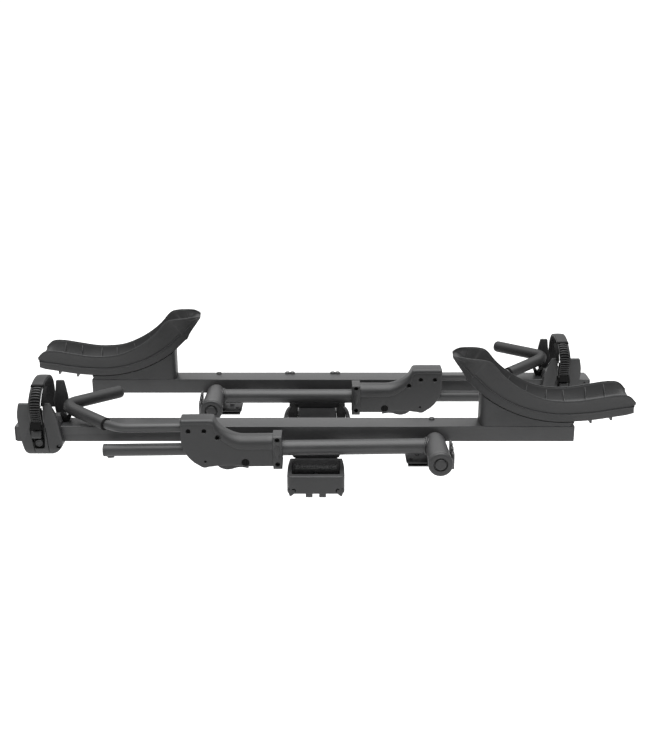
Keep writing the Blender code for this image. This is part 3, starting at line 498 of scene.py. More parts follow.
# ---- trays' fixed parts ----
def make_beam(tray):
    section = rounded(oblong(0, 0, BEAM_DEPTH, BEAM_HEIGHT), 0.0022, 5)
    middle = BEAM_HEIGHT / 2
    rings = []
    for x, inset in ((-BEAM_HALF, 0), (BEAM_HALF - 0.0012, 0), (BEAM_HALF - 0.0004, 0.0003),
                     (BEAM_HALF, 0.0012)):
        wide, tall = 1 - inset * 2 / BEAM_DEPTH, 1 - inset * 2 / BEAM_HEIGHT
        rings.append([Vector((x, BEAM_MID + (y - BEAM_MID) * wide, middle + (z - middle) * tall))
                      for y, z in section])
    beam = solid(loft(rings))
    cut(beam, recess(0.0026, 0.003, (-0.643, 0, 0.017)), recess(0.0026, 0.003, (-0.643, 0, 0.029)))
    piece("beam", beam, COAT, "trays", tray, stands_for="beam")

    flange = rounded(oblong(0.0012, 0.0012, 0.0588, 0.0368), [0.003, 0.003, 0.005, 0.006], 4)
    cap = solid(plate(flange, -0.659, -0.6554, "YZ"), 0.0012, 3)
    piece("beam_cap", cap, PLASTIC, "trays", tray, stands_for="beam_end_cap")

    tops = [(ARM_X - 0.002, 0.048)]
    if tray.mirror:
        tops += [(x, BEAM_DEPTH - 0.0085) for x in (0.141, 0.128, 0.02, 0.007)]
    dome = [(0, 0.0052), (0.0028, 0.005), (0.0055, 0.004), (0.0068, 0.0022), (0.0072, 0), (0, 0)]
    heads = [lathe(dome, (x, y, BEAM_HEIGHT), "Z", 24) for x, y in tops]
    piece("beam_bolts", joined(*heads), COAT, "trays", tray)


def trough_rows():
    """Root x, z and lip x, z of each cross-section, then its share of the width and its skirt."""
    rows = [(0.3665, 0.202, 0.3665, 0.206, 0.25, 0.004), (0.372, 0.199, 0.372, 0.207, 0.52, 0.008)]
    rows += [(0.383, 0.191, 0.386, 0.209, 0.78, 0.012), (0.396, 0.179, 0.404, 0.208, 0.93, 0.016)]
    rows.append((0.41, 0.163, 0.431, 0.206, 1, 0.018))
    (x, z), radius = TROUGH_CENTRE, TROUGH_RADIUS
    for angle in (222, 231, 240, 249, 258, 267, 276):
        a = radians(angle)
        reach = radius - 0.037 - 0.013 * max(0, (258 - angle) / 36)
        root, lip = ((x + r * cos(a), z + r * sin(a)) for r in (radius, reach))
        rows.append((*root, *lip, 1, TROUGH_SKIRT))
    rows.append((0.7, 0.0755, 0.699, 0.1155, 1, TROUGH_SKIRT))
    rows.append((0.745, 0.083, 0.7405, 0.122, 1, TROUGH_SKIRT))
    rows += [(0.772, 0.0865, 0.7685, 0.12, 1, 0.02), (0.788, 0.089, 0.7865, 0.103, 0.97, 0.018)]
    return rows


def wall_height(row):
    return (Vector(row[2:4]) - Vector(row[0:2])).length


def nearest(values, wanted):
    """Index of the value that lies closest to the wanted one."""
    return min(range(len(values)), key=lambda i: abs(values[i] - wanted))


def trough_section(height, skirt):
    """Half a cross-section, from the underside's middle round the lip to the floor's middle."""
    k = min(1, height / 0.02)
    floor = min(0.006, height * 0.5)
    half = [(0, -skirt), (0.02, -skirt), (0.0298, -skirt), (0.0312, -skirt + 0.001 * k)]
    skin = [(0.0338, -0.005), (0.0352, -0.003), (0.0372, -0.0012), (0.0388, 0.0006)]
    half += [(y, n * k) for y, n in skin + [(0.0396, 0.003), (0.0412, 0.008)]]
    half.append((0.0448, height * 0.5))
    lip = [(0.0494, 0.0065), (0.0514, 0.0035), (0.0521, 0.0016), (0.0515, 0.0002), (0.0498, 0)]
    half += [(y, height - n * k) for y, n in lip + [(0.0484, 0.001), (0.0474, 0.004)]]
    half += [(0.0415, height * 0.52), (0.0364, floor + 0.0055 * k), (0.0345, floor + 0.0022 * k)]
    half += [(0.031, floor + 0.0004 * k), (0.015, floor), (0, floor)]
    return half


def make_wheel_cradle(tray):
    rows = spline(trough_rows(), 5)

    def place(row, y, n):
        root, lip = Vector((row[0], 0, row[1])), Vector((row[2], 0, row[3]))
        up = (lip - root).normalized()
        return root + up * n + Vector((0, BEAM_MID + y * row[4], 0))

    rings = []
    for row in rows:
        half = trough_section(wall_height(row), row[5])
        back = half[-2:0:-1]
        rings.append([place(row, -y, n) for y, n in half] + [place(row, y, n) for y, n in back])
    trough = solid(loft(rings))
    piece("wheel_trough", trough, TOUGH, "trays", tray, stands_for="wheel_cradle", angle=50)

    ribs = []
    for x, proud in ((0.406, 0.003), (0.5, 0.0034), (0.548, 0.004), (0.595, 0.004), (0.642, 0.004),
                     (0.689, 0.004), (0.737, 0.004)):
        mid = nearest([(row[0] + row[2]) / 2 for row in rows], x)
        row, after, before = rows[mid], rows[mid + 1], rows[mid - 1]
        inside = trough_section(wall_height(row), row[5])[17:]
        ahead = Vector((after[0], 0, after[1])) - Vector((before[0], 0, before[1]))
        ahead = ahead.normalized() * 0.0014
        high = [(max(y - proud * (0.6 if i else 0.2), 0), n + proud * (0.9 if i else -0.4))
                for i, (y, n) in enumerate(inside)]
        for side in (-1, 1):
            rings = []
            for (ya, na), (yb, nb) in zip(inside, high):
                a, b = place(row, side * (ya + 0.0006), na), place(row, side * yb, nb)
                rings.append([a - ahead, a + ahead, b + ahead * 0.6, b - ahead * 0.6])
            ribs.append(loft(rings))
    for side in (-1, 1):
        crest = [place(row, side * 0.05, wall_height(row) - 0.0002) for row in rows[2:]]
        ribs.append(sweep(crest, 0.0017, 8))
        seam = [place(row, side * 0.0398, 0.0012) for row in rows[12:-1]]
        ribs.append(sweep(seam, 0.0014, 8))
    for x in (0.692, 0.738):
        row = rows[nearest([row[0] for row in rows], x)]
        low = place(row, -0.0275, -row[5])
        ribs.append(box(low + Vector((-0.0022, 0, -0.0085)), low + Vector((0.0022, 0.055, 0.004))))
    piece("trough_ribs", joined(*ribs), TOUGH, "trays", tray, angle=40)


def make_pedestal(tray):
    left, right = 0.433, 0.6535
    centre, radius = TROUGH_CENTRE, TROUGH_RADIUS + TROUGH_SKIRT + SEAT_GAP
    top = []
    for i in range(25):
        x = left + (right - left) * i / 24
        top.append((x, centre[1] - sqrt(radius**2 - (x - centre[0]) ** 2) - 0.0006))
    outline = [(left, BEAM_HEIGHT + 0.0004), (right - 0.01, BEAM_HEIGHT + 0.0004)]
    outline += [(right - 0.004, BEAM_HEIGHT + 0.0055), (right, BEAM_HEIGHT + 0.008)] + top[::-1]
    block = solid(plate(outline, -0.02, 0.08, "XZ"))
    plan = oblong(left, 0.0006, right, BEAM_DEPTH - 0.0006)
    plan = rounded(plan, [0.016, 0.003, 0.003, 0.016], 8)
    cut(block, plate(plan, -0.1, 0.4, "XY"), how="INTERSECT")
    piece("pedestal", block, TOUGH, "trays", tray, stands_for="cradle_pedestal", angle=30)


# ---- arm ----
def make_pivot_bracket(tray):
    x, low = ARM_X, -0.0285
    plan = rounded(oblong(x - 0.068, -0.058, x + 0.04, 0.01), 0.006)
    shelf = solid(plate(plan, low - 0.0028, low - 0.0006, "XY"), 0.0006, 2)
    cut(shelf, recess(0.0042, 0.02, (x - 0.055, -0.034, low - 0.001), "Z", sign=-1))
    sole = rounded(oblong(x - 0.02, -0.006, x + 0.02, 0.048), 0.004)
    cut(shelf, plate(sole, low - 0.006, -0.0005, "XY"), how="UNION")
    piece("bracket_shelf", shelf, COAT, "trays", tray, stands_for="pivot_bracket")

    ear = [(-0.086, low - 0.0055), (-0.012, low - 0.0055), (-0.012, 0.012), (-0.02, 0.012)]
    ear += [(-0.024, 0.006), (-0.034, 0.006), (-0.034, 0.012), (-0.044, 0.012), (-0.044, 0.005)]
    ear += [(-0.054, 0.005), (-0.054, 0.011), (-0.064, 0.008), (-0.064, 0.001), (-0.073, 0.0)]
    ear += [(-0.073, 0.006), (-0.082, 0.003), (-0.086, -0.006)]
    plate_ear = solid(plate(rounded(ear, 0.0015, 2), x + 0.034, x + 0.0395, "YZ"), 0.0008, 2)
    for y, z in ((-0.03, -0.012), (-0.052, -0.016), (-0.072, -0.012)):
        cut(plate_ear, recess(0.0032, 0.02, (x + 0.0395, y, z), "X", sign=-1))
    piece("bracket_ear", plate_ear, COAT, "trays", tray)
    extra = [rod(0.0062, low - 0.0105, low - 0.0062, (x - 0.05, -0.012, 0), "Z", 6)]
    extra.append(box((x - 0.064, -0.0575, low - 0.0108), (x - 0.014, -0.02, low - 0.0088)))
    extra.append(box((x - 0.064, -0.02, low - 0.0108), (x - 0.014, -0.017, low - 0.003)))
    extra.append(rod(0.0055, low - 0.001, low + 0.0022, (x - 0.04, -0.01, 0), "Z", 24, 0.0008))
    piece("bracket_bolts", joined(*extra), COAT, "trays", tray)


def make_arm_tube(tray):
    start, end = BARREL_FRONT - ARM_Y, BARREL_REAR - ARM_Y
    profile = [(0, start), (BARREL_RADIUS - 0.001, start), (BARREL_RADIUS, start + 0.002),
               (BARREL_RADIUS - 0.001, start + 0.01), (BARREL_RADIUS - 0.0045, end - 0.014),
               (BARREL_RADIUS - 0.0065, end - 0.006), (0.012, end), (0, end)]
    body = solid(lathe(profile, HINGE, "Y", 56))
    tube = rod(TUBE_RADIUS, TUBE_END, -0.004, HINGE, "X", 48)
    cut(body, tube, how="UNION")
    cut(body, rod(0.0155, TUBE_END - 0.01, -0.06, HINGE, "X", 40))
    cut(body, rod(0.0082, -0.2, 0.2, HINGE, "Y", 32))
    piece("arm_tube", body, COAT, "arm", tray, True, "arm_tube", angle=32)
    bead = []
    for i in range(64):
        a = 2 * pi * i / 64
        y, z = TUBE_RADIUS * cos(a), TUBE_RADIUS * sin(a)
        wobble = 0.0006 * sin(21 * a)
        bead.append(arm(-sqrt(BARREL_RADIUS**2 - z * z) - 0.0006 + wobble, y * 1.02, z * 1.02))
    weld = sweep(bead, lambda run: 0.0026 + 0.0003 * sin(run * 1400), 10, True)
    piece("arm_weld", weld, COAT, "arm", tray, True, angle=60)


def make_pivot_bolt(tray):
    centre = Vector((ARM_X, 0, ARM_Z))
    front = BARREL_FRONT - 0.0006
    steps = [(0, 0.0085), (0.0098, 0.0085), (0.0116, 0.008), (0.0125, 0.0068), (0.0128, 0.003)]
    steps += [(0.0152, 0.003), (0.0156, 0.0062), (0.0166, 0.0073), (0.0215, 0.0078)]
    steps += [(0.0255, 0.0074), (0.0272, 0.0058), (0.0279, 0.003), (BARREL_RADIUS, 0), (0.0078, 0)]
    profile = [(radius, front - rise) for radius, rise in steps]
    profile += [(0.0078, -0.0006), (0, -0.0006)]
    bolt = solid(lathe(profile, centre, "Y", 56))
    piece("pivot_cap", bolt, PLASTIC, "trays", tray, stands_for="pivot_bolt", angle=38)


def make_ratchet_bar(tray):
    bar = solid(rod(BAR_RADIUS, BAR_END + 0.001, -0.5, HINGE, "X", 40, 0.0008))
    piece("ratchet_bar", bar, COAT, "arm", tray, True, "ratchet_bar")
    plug = [rod(BAR_RADIUS + 0.0003, BAR_END, BAR_END + 0.01, HINGE, "X", 40, 0.0022)]
    tab = [(BAR_END + 0.008, -0.013), (BAR_END + 0.026, -0.013), (BAR_END + 0.024, -0.0172),
           (BAR_END + 0.01, -0.0175)]
    tab = rounded(shift(tab, ARM_X, ARM_Z), 0.0015, 3)
    plug.append(plate(tab, ARM_Y - 0.006, ARM_Y + 0.006, "XZ"))
    piece("bar_plug", joined(*plug), PLASTIC, "arm", tray, True)
    teeth = []
    for i in range(9):
        x = BAR_END + 0.06 + 0.012 * i
        row = [(x, 0.0135), (x + 0.007, 0.0135), (x + 0.0055, 0.0163), (x + 0.001, 0.0165)]
        teeth.append(plate(shift(row, ARM_X, ARM_Y), ARM_Z - 0.006, ARM_Z + 0.006, "XY"))
    piece("ratchet_teeth", joined(*teeth), COAT, "arm", tray, True)


# ---- carriage ----
def level(points, x):
    """Straight-line reading of a curve given as (x, z) points in rising x."""
    for (xa, za), (xb, zb) in zip(points, points[1:]):
        if x <= xb:
            return za + (zb - za) * max(0, (x - xa)) / max(xb - xa, 1e-9)
    return points[-1][1]


def shell_top():
    points = [(SHELL_LEFT, 0.0778), (SHELL_LEFT + 0.0008, 0.0792), (SHELL_LEFT + 0.0024, SHELL_TOP),
              (-0.5165, SHELL_TOP), (-0.512, 0.0788), (-0.5075, 0.0762)]
    points += arc((-0.438, 0.125), 0.09, 222, 262, 14)
    return points + [(-0.44, 0.0356), (-0.428, SLEEVE_TOP), (SHELL_RIGHT, SLEEVE_TOP)]


def shell_low():
    points = [(SHELL_LEFT, 0.034)] + arc((-0.5, 0.04), 0.089, 184, 229, 16)
    points += arc((-0.534, -0.025), 0.0155, 248, 300, 6)
    points += [(-0.516, -0.0375), (-0.507, -0.036), (-0.495, -0.0355), (-0.47, -0.035)]
    return points + [(-0.432, SLEEVE_LOW), (SHELL_RIGHT, SLEEVE_LOW)]


def ease(value, low, high):
    t = min(1, max(0, (value - low) / (high - low)))
    return t * t * (3 - 2 * t)


def shell_ring(x, top, low):
    """One upright cross-section of the carriage shell: a tubular ridge above a flat side."""
    zt, zb = level(top, x), level(low, x)
    slope = (level(top, x + 0.003) - level(top, x - 0.003)) / 0.006
    stretch = sqrt(1 + min(slope * slope, 2.2))
    grow = ease(x, -0.53, -0.44)
    rim = 0.0085 + 0.015 * grow
    drop = (0.008 + 0.0125 * grow) * stretch
    ridge = (0.0125 + 0.019 * grow) * stretch
    ridge = min(ridge, (zt - zb) * 0.62)
    drop = min(drop, ridge * 0.7)
    squeeze = 1 - 0.08 * (1 - ease(x, SHELL_LEFT - 0.0004, SHELL_LEFT + 0.003))
    half = []
    for i in range(9):
        a = pi / 2 * i / 8
        half.append((SHELL_HALF - rim + rim * sin(a), zt - drop * (1 - cos(a))))
    for t, inward in ((0.3, 0.02), (0.6, 0.08), (0.8, 0.22), (0.9, 0.42), (0.96, 0.72), (1.0, 1.0)):
        side = SHELL_HALF - (SHELL_HALF - SHELL_FLAT) * inward
        half.append((side, zt - drop - (ridge - drop) * t))
    under = min(0.004, (zt - ridge - zb) * 0.5)
    for t in (0.35, 0.7, 1.0):
        half.append((SHELL_FLAT, zt - ridge + (zb + under - zt + ridge) * t))
    for i in range(1, 6):
        a = pi / 2 * i / 5
        half.append((SHELL_FLAT - 0.004 * (1 - cos(a)), zb + under * (1 - sin(a))))
    half = [(y * squeeze, z) for y, z in half]
    return [arm(x, -y, z) for y, z in half] + [arm(x, y, z) for y, z in reversed(half)]


def make_housing(tray):
    first = (0, 0.0006, 0.0015, 0.003, 0.005, 0.0075, 0.0105, 0.014, 0.018, 0.0225)
    xs = [SHELL_LEFT + step for step in first]
    while xs[-1] < SHELL_RIGHT - 0.006:
        xs.append(xs[-1] + 0.0048)
    xs = xs[:-1] + [SHELL_RIGHT]
    top, low = shell_top(), shell_low()
    shell = solid(loft([shell_ring(x, top, low) for x in xs]))
    face = ARM_Y - SHELL_FLAT
    deep = [(-0.568, 0.051, 0.0052), (-0.532, 0.051, 0.0052), (-0.502, 0.035, 0.0052)]
    holes = [recess(r, 0.0075, (ARM_X + x, face, ARM_Z + z), lip=0.001) for x, z, r in deep]
    small = (ARM_X - 0.532, face, ARM_Z - 0.024)
    holes.append(recess(0.0028, 0.003, small, lip=0.0006))
    holes.append(recess(0.0088, 0.003, (ARM_X + TRIGGER[0], face, ARM_Z + TRIGGER[1]), lip=0.0008))
    cut(shell, joined(*holes))
    cut(shell, box(arm(-0.512, -0.0125, -0.06), arm(-0.425, 0.0125, -0.019)))
    cut(shell, rod(TUBE_RADIUS + SLIDE_GAP, -0.65, -0.3, HINGE, "X", 40))
    piece("carriage_shell", shell, PLASTIC, "carriage", tray, True, "carriage_housing", angle=33)

    head = [(0, 0), (0.0016, 0), (0.0018, -0.0012), (0.0036, -0.0014), (0.0042, -0.0006)]
    head += [(0.0042, 0.001), (0, 0.001)]
    screws = [lathe(head, (ARM_X + x, face + 0.0062, ARM_Z + z), "Y", 20) for x, z, _ in deep]
    screws.append(rod(0.0022, 0.0012, 0.0026, small, "Y", 16, 0.0004))
    piece("carriage_screws", joined(*screws), SHADE, "carriage", tray, True)


def make_collar(tray):
    """The clamp ring round the tube, slightly waisted on its near side between two bolts."""
    low, high = ARM_X + SHELL_RIGHT + 0.0004, ARM_X - 0.355
    outline = [(-0.0268, -0.033), (-0.024, -0.0445), (0.0225, -0.0445), (0.0265, -0.034)]
    outline += [(0.0265, 0.031), (0.019, 0.0375), (-0.0215, 0.0385), (-0.0268, 0.034)]
    outline += [(-0.0268, 0.021), (-0.0246, 0.01), (-0.0246, -0.008), (-0.0268, -0.019)]
    corners = [0.004, 0.005, 0.006, 0.006, 0.006, 0.008, 0.007, 0.005, 0.005, 0.008, 0.008, 0.005]
    outline = shift(rounded(outline, corners, 4), ARM_Y, ARM_Z)
    ring = solid(plate(outline, low, high, "YZ"), 0.0012, 2, 60)
    cut(ring, rod(TUBE_RADIUS + SLIDE_GAP, -0.45, -0.3, HINGE, "X", 40))
    spots = [(ARM_X + COLLAR_MID, ARM_Y - 0.0268, ARM_Z + z) for z in (0.029, -0.031)]
    cut(ring, *[recess(0.0054, 0.01, spot) for spot in spots])
    piece("clamp_collar", ring, PLASTIC, "carriage", tray, True, "carriage_collar", angle=33)
    ridge = []
    for i in range(13):
        t = -1 + 2 * i / 12
        reach = 0.0052 * sqrt(max(0, 1 - t * t)) + 0.0004
        spot = arm(COLLAR_MID, -0.0246 - 0.0022 * (1 - t * t), 0.001 + 0.0175 * t)
        turns = [2 * pi * k / 14 for k in range(14)]
        ridge.append([spot + Vector((reach * cos(a), 0.0016 * sin(a), 0)) for a in turns])
    piece("collar_ridge", loft(ridge), PLASTIC, "carriage", tray, True, angle=60)
    head = [(0.0022, 0.008), (0.0022, 0.006), (0.004, 0.0058), (0.0046, 0.0066), (0.0046, 0.0096)]
    bolts = [lathe(head + [(0.0022, 0.0096)], spot, "Y", 20) for spot in spots]
    piece("collar_bolts", joined(*bolts), SHADE, "carriage", tray, True)


def make_trigger(tray):
    outline = [(-0.507, -0.027), (-0.5065, -0.0375), (-0.498, -0.0445), (-0.4855, -0.0485)]
    outline += [(-0.473, -0.0475), (-0.462, -0.0435), (-0.452, -0.0425), (-0.444, -0.0435)]
    outline += [(-0.434, -0.0455), (-0.4335, -0.0395), (-0.436, -0.03), (-0.441, -0.0225)]
    corners = [0.001, 0.004] + [0.005] * 6 + [0.001] * 4
    outline = rounded(shift(outline, ARM_X, ARM_Z), corners, 4)
    lever = solid(plate(outline, ARM_Y - 0.0112, ARM_Y + 0.0112, "XZ"), 0.0022, 4)
    cut(lever, rod(0.0036, -0.1, 0.1, arm(TRIGGER[0], 0, TRIGGER[1]), "Y", 24))
    piece("release_lever", lever, PLASTIC, "trigger", tray, True, "release_trigger", angle=40)
    front = -SHELL_FLAT
    profile = [(0, front - 0.0012), (0.0062, front - 0.0012), (0.0078, front - 0.0002)]
    profile += [(0.008, front + 0.0022), (0.0032, front + 0.0022), (0.0032, 0.0175), (0, 0.0175)]
    screw = solid(lathe(profile, arm(TRIGGER[0], 0, TRIGGER[1]), "Y", 32))
    for x in (-0.003, 0.003):
        centre = arm(TRIGGER[0] + x, 0, TRIGGER[1])
        cut(screw, box(centre + Vector((-0.0009, front - 0.004, -0.006)),
                       centre + Vector((0.0009, front, 0.006))))
    piece("pivot_screw", screw, SHADE, "carriage", tray, True, "trigger_screw")


def make_hook(tray):
    start, bend_in = arm(-0.516, 0, ROD_Z), arm(-0.728, 0, ROD_Z + 0.0005)
    soft_start = Vector((-0.437, -0.024, ARM_Z + ROD_Z + 0.001))
    elbow = Vector((-0.548, 0.04, ARM_Z + ROD_Z + 0.026))
    tip = Vector((-0.423, 0.13, ARM_Z + ROD_Z + 0.028))
    inner_tip = elbow + (tip - elbow) * 0.9
    path = round_path([start, bend_in, soft_start, elbow, inner_tip], 0.034, 10)
    piece("hook_bar", sweep(path, 0.0108, 24), COAT, "carriage", tray, True, "hook_rod", angle=60)
    soft = round_path([soft_start, elbow, tip], 0.036, 12)

    along = (soft[1] - soft[0]).normalized()
    dense = [soft[0] + along * 0.004] + soft[1:]
    sleeve = sweep(dense, 0.0148, 32, start_round=0.0012, end_round=0.0095)
    piece("hook_grip", sleeve, RUBBER, "carriage", tray, True, "hook_sheath", angle=50)
    cuff = [soft[0], soft[0] + along * 0.0036]
    cuff = sweep(cuff, 0.0151, 32, start_round=0.0008, end_round=0.0008)
    piece("grip_cuff", cuff, SHADE, "carriage", tray, True, angle=50)


# ---- strap cradle ----
def make_strap_cradle(tray):
    x = tray.strap_x
    section = [(-0.015, -0.018), (-0.008, -0.029), (0.068, -0.029), (0.075, -0.018)]
    section += [(0.0775, 0.062), (0.068, 0.062), (0.0635, 0.054), (0.054, 0.044)]
    section += [(0.006, 0.044), (-0.003, 0.056), (-0.007, 0.1), (-0.0165, 0.1)]
    section = rounded(section, [0.006] * 4 + [0.004] * 2 + [0.005] * 4 + [0.003, 0.004], 4)
    body = solid(plate(section, x - 0.06, x + 0.07, "YZ"))
    front = [(-0.04, 0.101), (-0.046, 0.072), (-0.04, 0.005), (-0.033, -0.02), (-0.024, -0.03)]
    front += [(0.024, -0.03), (0.045, -0.02), (0.056, -0.004), (0.056, 0.005), (0.045, 0.07)]
    front.append((0.03, 0.101))
    corners = [0.003, 0.02, 0.012, 0.012, 0.012, 0.02, 0.012, 0.006, 0.006, 0.02, 0.004]
    cut(body, plate(rounded(shift(front, x), corners, 5), -0.05, 0.15, "XZ"), how="INTERSECT")
    near = [(-0.016, 0.12), (-0.016, 0.056), (-0.018, 0.036), (-0.0138, 0.014), (-0.011, -0.012)]
    near += [(0.013, -0.012), (0.0155, 0.014), (0.018, 0.036), (0.016, 0.056), (0.016, 0.12)]
    corners = [0, 0.01, 0.01, 0.01, 0.005, 0.005, 0.01, 0.01, 0.01, 0]
    cut(body, plate(rounded(shift(near, x), corners, 4), -0.04, -0.0062, "XZ"))
    cut(body, box((x - 0.1, -SLIDE_GAP, -SLIDE_GAP),
                  (x + 0.1, BEAM_DEPTH + SLIDE_GAP, BEAM_HEIGHT + SLIDE_GAP)))
    cut(body, box((x - 0.014, 0.048, 0.05), (x + 0.0165, 0.1, 0.12)))
    cut(body, box((x - 0.016, -0.03, 0.05), (x + 0.016, 0.03, 0.12)))
    for xa, xb in ((-0.0195, -0.0098), (0.0175, 0.0228)):
        seam = [(x + xa, 0.04), (x + xb, -0.031), (x + xb + 0.0018, -0.031),
                (x + xa + 0.0018, 0.04)]
        cut(body, plate(seam, -0.03, -0.0118, "XZ"))
    cut(body, box((x + 0.012, 0.06, 0.0425), (x + 0.09, 0.1, 0.12)))
    cut(body, recess(0.0046, 0.01, (x + 0.0455, -0.014, -0.008), lip=0.001))
    piece("saddle_body", body, PLASTIC, "strap_cradle", tray, stands_for="strap_cradle", angle=26)

    # Black sheets in the strap channel and in the slot above the buckle are painted shade; the
    # small V-shaped fork is a dark part.
    channel_shade_and_fork = [box((x - 0.0092, -0.0066, -0.0115), (x + 0.0112, -0.006, 0.042))]
    channel_shade_and_fork.append(box((x - 0.0152, -0.018, 0.037), (x + 0.0145, -0.016, 0.09)))
    channel_shade_and_fork.append(box((x - 0.013, -0.0235, 0.039), (x + 0.01, -0.02, 0.056)))
    fork = [(0.044, 0.06), (0.05, 0.04), (0.064, 0.04), (0.069, 0.054), (0.063, 0.058)]
    fork.append((0.056, 0.048))
    channel_shade_and_fork.append(plate(shift(fork, x), 0.028, 0.048, "XZ"))
    piece("saddle_lining", joined(*channel_shade_and_fork), SHADE, "strap_cradle", tray)
    small = [rod(0.0034, -0.008, -0.005, (x + 0.0455, 0, -0.008), "Y", 20, 0.0006)]
    for dx in (-0.0065, 0.0085):
        small.append(rod(0.0022, -0.0312, -0.0285, (x + dx, 0.002, 0), "Z", 16, 0.0006))
    piece("saddle_screws", joined(*small), ZINC, "strap_cradle", tray)
    # The plate round the button takes the black finish: painted shade, a dark ring round the
    # lighter button.
    frame_plate = [(-0.009, -0.0115), (0.011, -0.0115), (0.012, 0.01), (-0.01, 0.01)]
    frame_plate = rounded(shift(frame_plate, x), 0.003, 4)
    button_shade_plate = solid(plate(frame_plate, -0.0105, -0.0064, "XZ"), 0.0008, 2)
    cut(button_shade_plate, rod(0.009, -0.02, 0.0, (x + 0.001, 0, 0.003), "Y", 32))
    piece("button_seat", button_shade_plate, SHADE, "strap_cradle", tray)


def make_cradle_lock(tray):
    outline = [(-0.009, 0.125), (0.01, 0.125), (0.014, 0.105), (0.018, 0.079), (0.012, 0.055)]
    outline += [(0.008, 0.028), (0, 0.022), (-0.012, 0.028), (-0.016, 0.05), (-0.0185, 0.076)]
    outline.append((-0.012, 0.1))
    outline = rounded(shift(outline, tray.strap_x + 0.036), 0.004, 4)
    lever = solid(plate(outline, 0.0792, 0.0872, "XZ"), 0.0024, 4)
    piece("lock_lever", lever, PLASTIC, "cradle_lock", tray, stands_for="cradle_lock", angle=30)


def strap_line(x):
    points = [(-0.0105, 0.0365), (-0.02, 0.06), (-0.033, 0.09), (-0.033, 0.112)]
    points += [(-0.018, 0.133), (0.006, 0.144), (0.04, 0.147), (0.072, 0.138), (0.089, 0.116)]
    points += [(0.0915, 0.09), (0.084, 0.056)]
    leans = [-0.001, -0.001, 0, 0.003, 0.005, 0.006, 0.006, 0.006, 0.006, 0.006, 0.005]
    path = round_path([Vector((x + lean, y, z)) for lean, (y, z) in zip(leans, points)], 0.016, 6)
    dense = [path[0]]
    for a, b in zip(path, path[1:]):
        gap = (b - a).length
        steps = max(1, int(gap / 0.0007))
        dense += [a + (b - a) * (i + 1) / steps for i in range(steps)] if gap > 1e-6 else []
    return dense


BAND_EDGE = [(-0.98, 0), (0.98, 0), (1, 0.3), (0.99, 0.8), (0.9, 1), (0.45, 1), (0, 1)]
BAND_EDGE += [(-0.45, 1), (-0.9, 1), (-0.99, 0.8), (-1, 0.3)]


def band(path, half, low, high, crown=0.0):
    """A strip with rounded sides, its width along X, from low to high above the path."""
    rings = []
    for n, point in enumerate(path):
        ahead = path[min(n + 3, len(path) - 1)] - path[max(n - 3, 0)]
        out = Vector((0, -ahead.z, ahead.y)).normalized()
        ring = []
        for side, share in BAND_EDGE:
            lift = crown * (1 - side * side) if share == 1 else 0
            height = low + (high - low) * share + lift
            ring.append(point + Vector((half * side, 0, 0)) + out * height)
        rings.append(ring)
    return loft(rings)


def first_above(path, height):
    return next(i for i, point in enumerate(path) if point.z > height)


def make_straps(tray):
    """The toothed strap up to SLEEVE_FROM, and from there on the smooth sleeve over its loop."""
    path = strap_line(tray.strap_x)
    split, first, wide = (first_above(path, z) for z in (SLEEVE_FROM, RUNGS_FROM, SIDE_SHADE_FROM))
    strap = band(path, 0.0142, 0, 0.0022, 0.0004)
    piece("ladder_strap", strap, RUBBER, "strap_cradle", tray, stands_for="ladder_strap", angle=30)
    # Black strips under the rungs and along the strap's side: painted shade between the rungs and
    # on the shaded side.
    rung_gap_shade = [p + Vector((0.0015, 0, 0)) for p in path[first:split]]
    rung_gap_shade = band(rung_gap_shade, 0.0112, 0.0018, 0.0026)
    rim = [p + Vector((0.0185, 0.0045, 0)) for p in path[wide:split]]
    rim = band(rim, 0.0042, 0, 0.0022)
    piece("strap_bed", joined(rung_gap_shade, rim), SHADE, "strap_cradle", tray)

    rungs, run, pitch = [], 0.0, 0.006
    for here, ahead in zip(path[:split], path[1:split + 1]):
        run += (ahead - here).length
        if here.z < RUNGS_FROM:
            run = 0.0
        if run < pitch * (len(rungs) + 1):
            continue
        along = (ahead - here).normalized()
        out = Vector((0, -along.z, along.y))
        rings = []
        for share in (-1, -0.94, -0.8, -0.4, 0, 0.4, 0.8, 0.94, 1):
            rise = 0.0038 * (1 - 0.9 * abs(share) ** 6)
            spot = here + Vector((0.0015 + 0.0108 * share, 0, 0))
            spot = spot - along * 0.0012 * share * share + out * 0.0019
            rings.append([spot - along * 0.0014, spot - along * 0.0004 + out * rise,
                          spot + along * 0.001 + out * rise, spot + along * 0.0016])
        rungs.append(loft(rings))
    # The rungs take the lighter plastic finish instead of the strap's rubber: painted light on the
    # rungs' tops.
    piece("strap_rungs", joined(*rungs), PLASTIC, "strap_cradle", tray, angle=25)

    cover = path[split:-3]
    sleeve = band(cover, 0.0143, -0.0018, 0.0044, 0.0008)
    piece("strap_sleeve", sleeve, RUBBER, "strap_cradle", tray, stands_for="strap_sleeve", angle=40)
    # A black band at the sleeve's near end: painted shade where the strap runs into the sleeve.
    lip = band(path[split - 1:split + 5], 0.0149, -0.0024, 0.0056)
    piece("sleeve_lip", lip, SHADE, "strap_cradle", tray, angle=40)


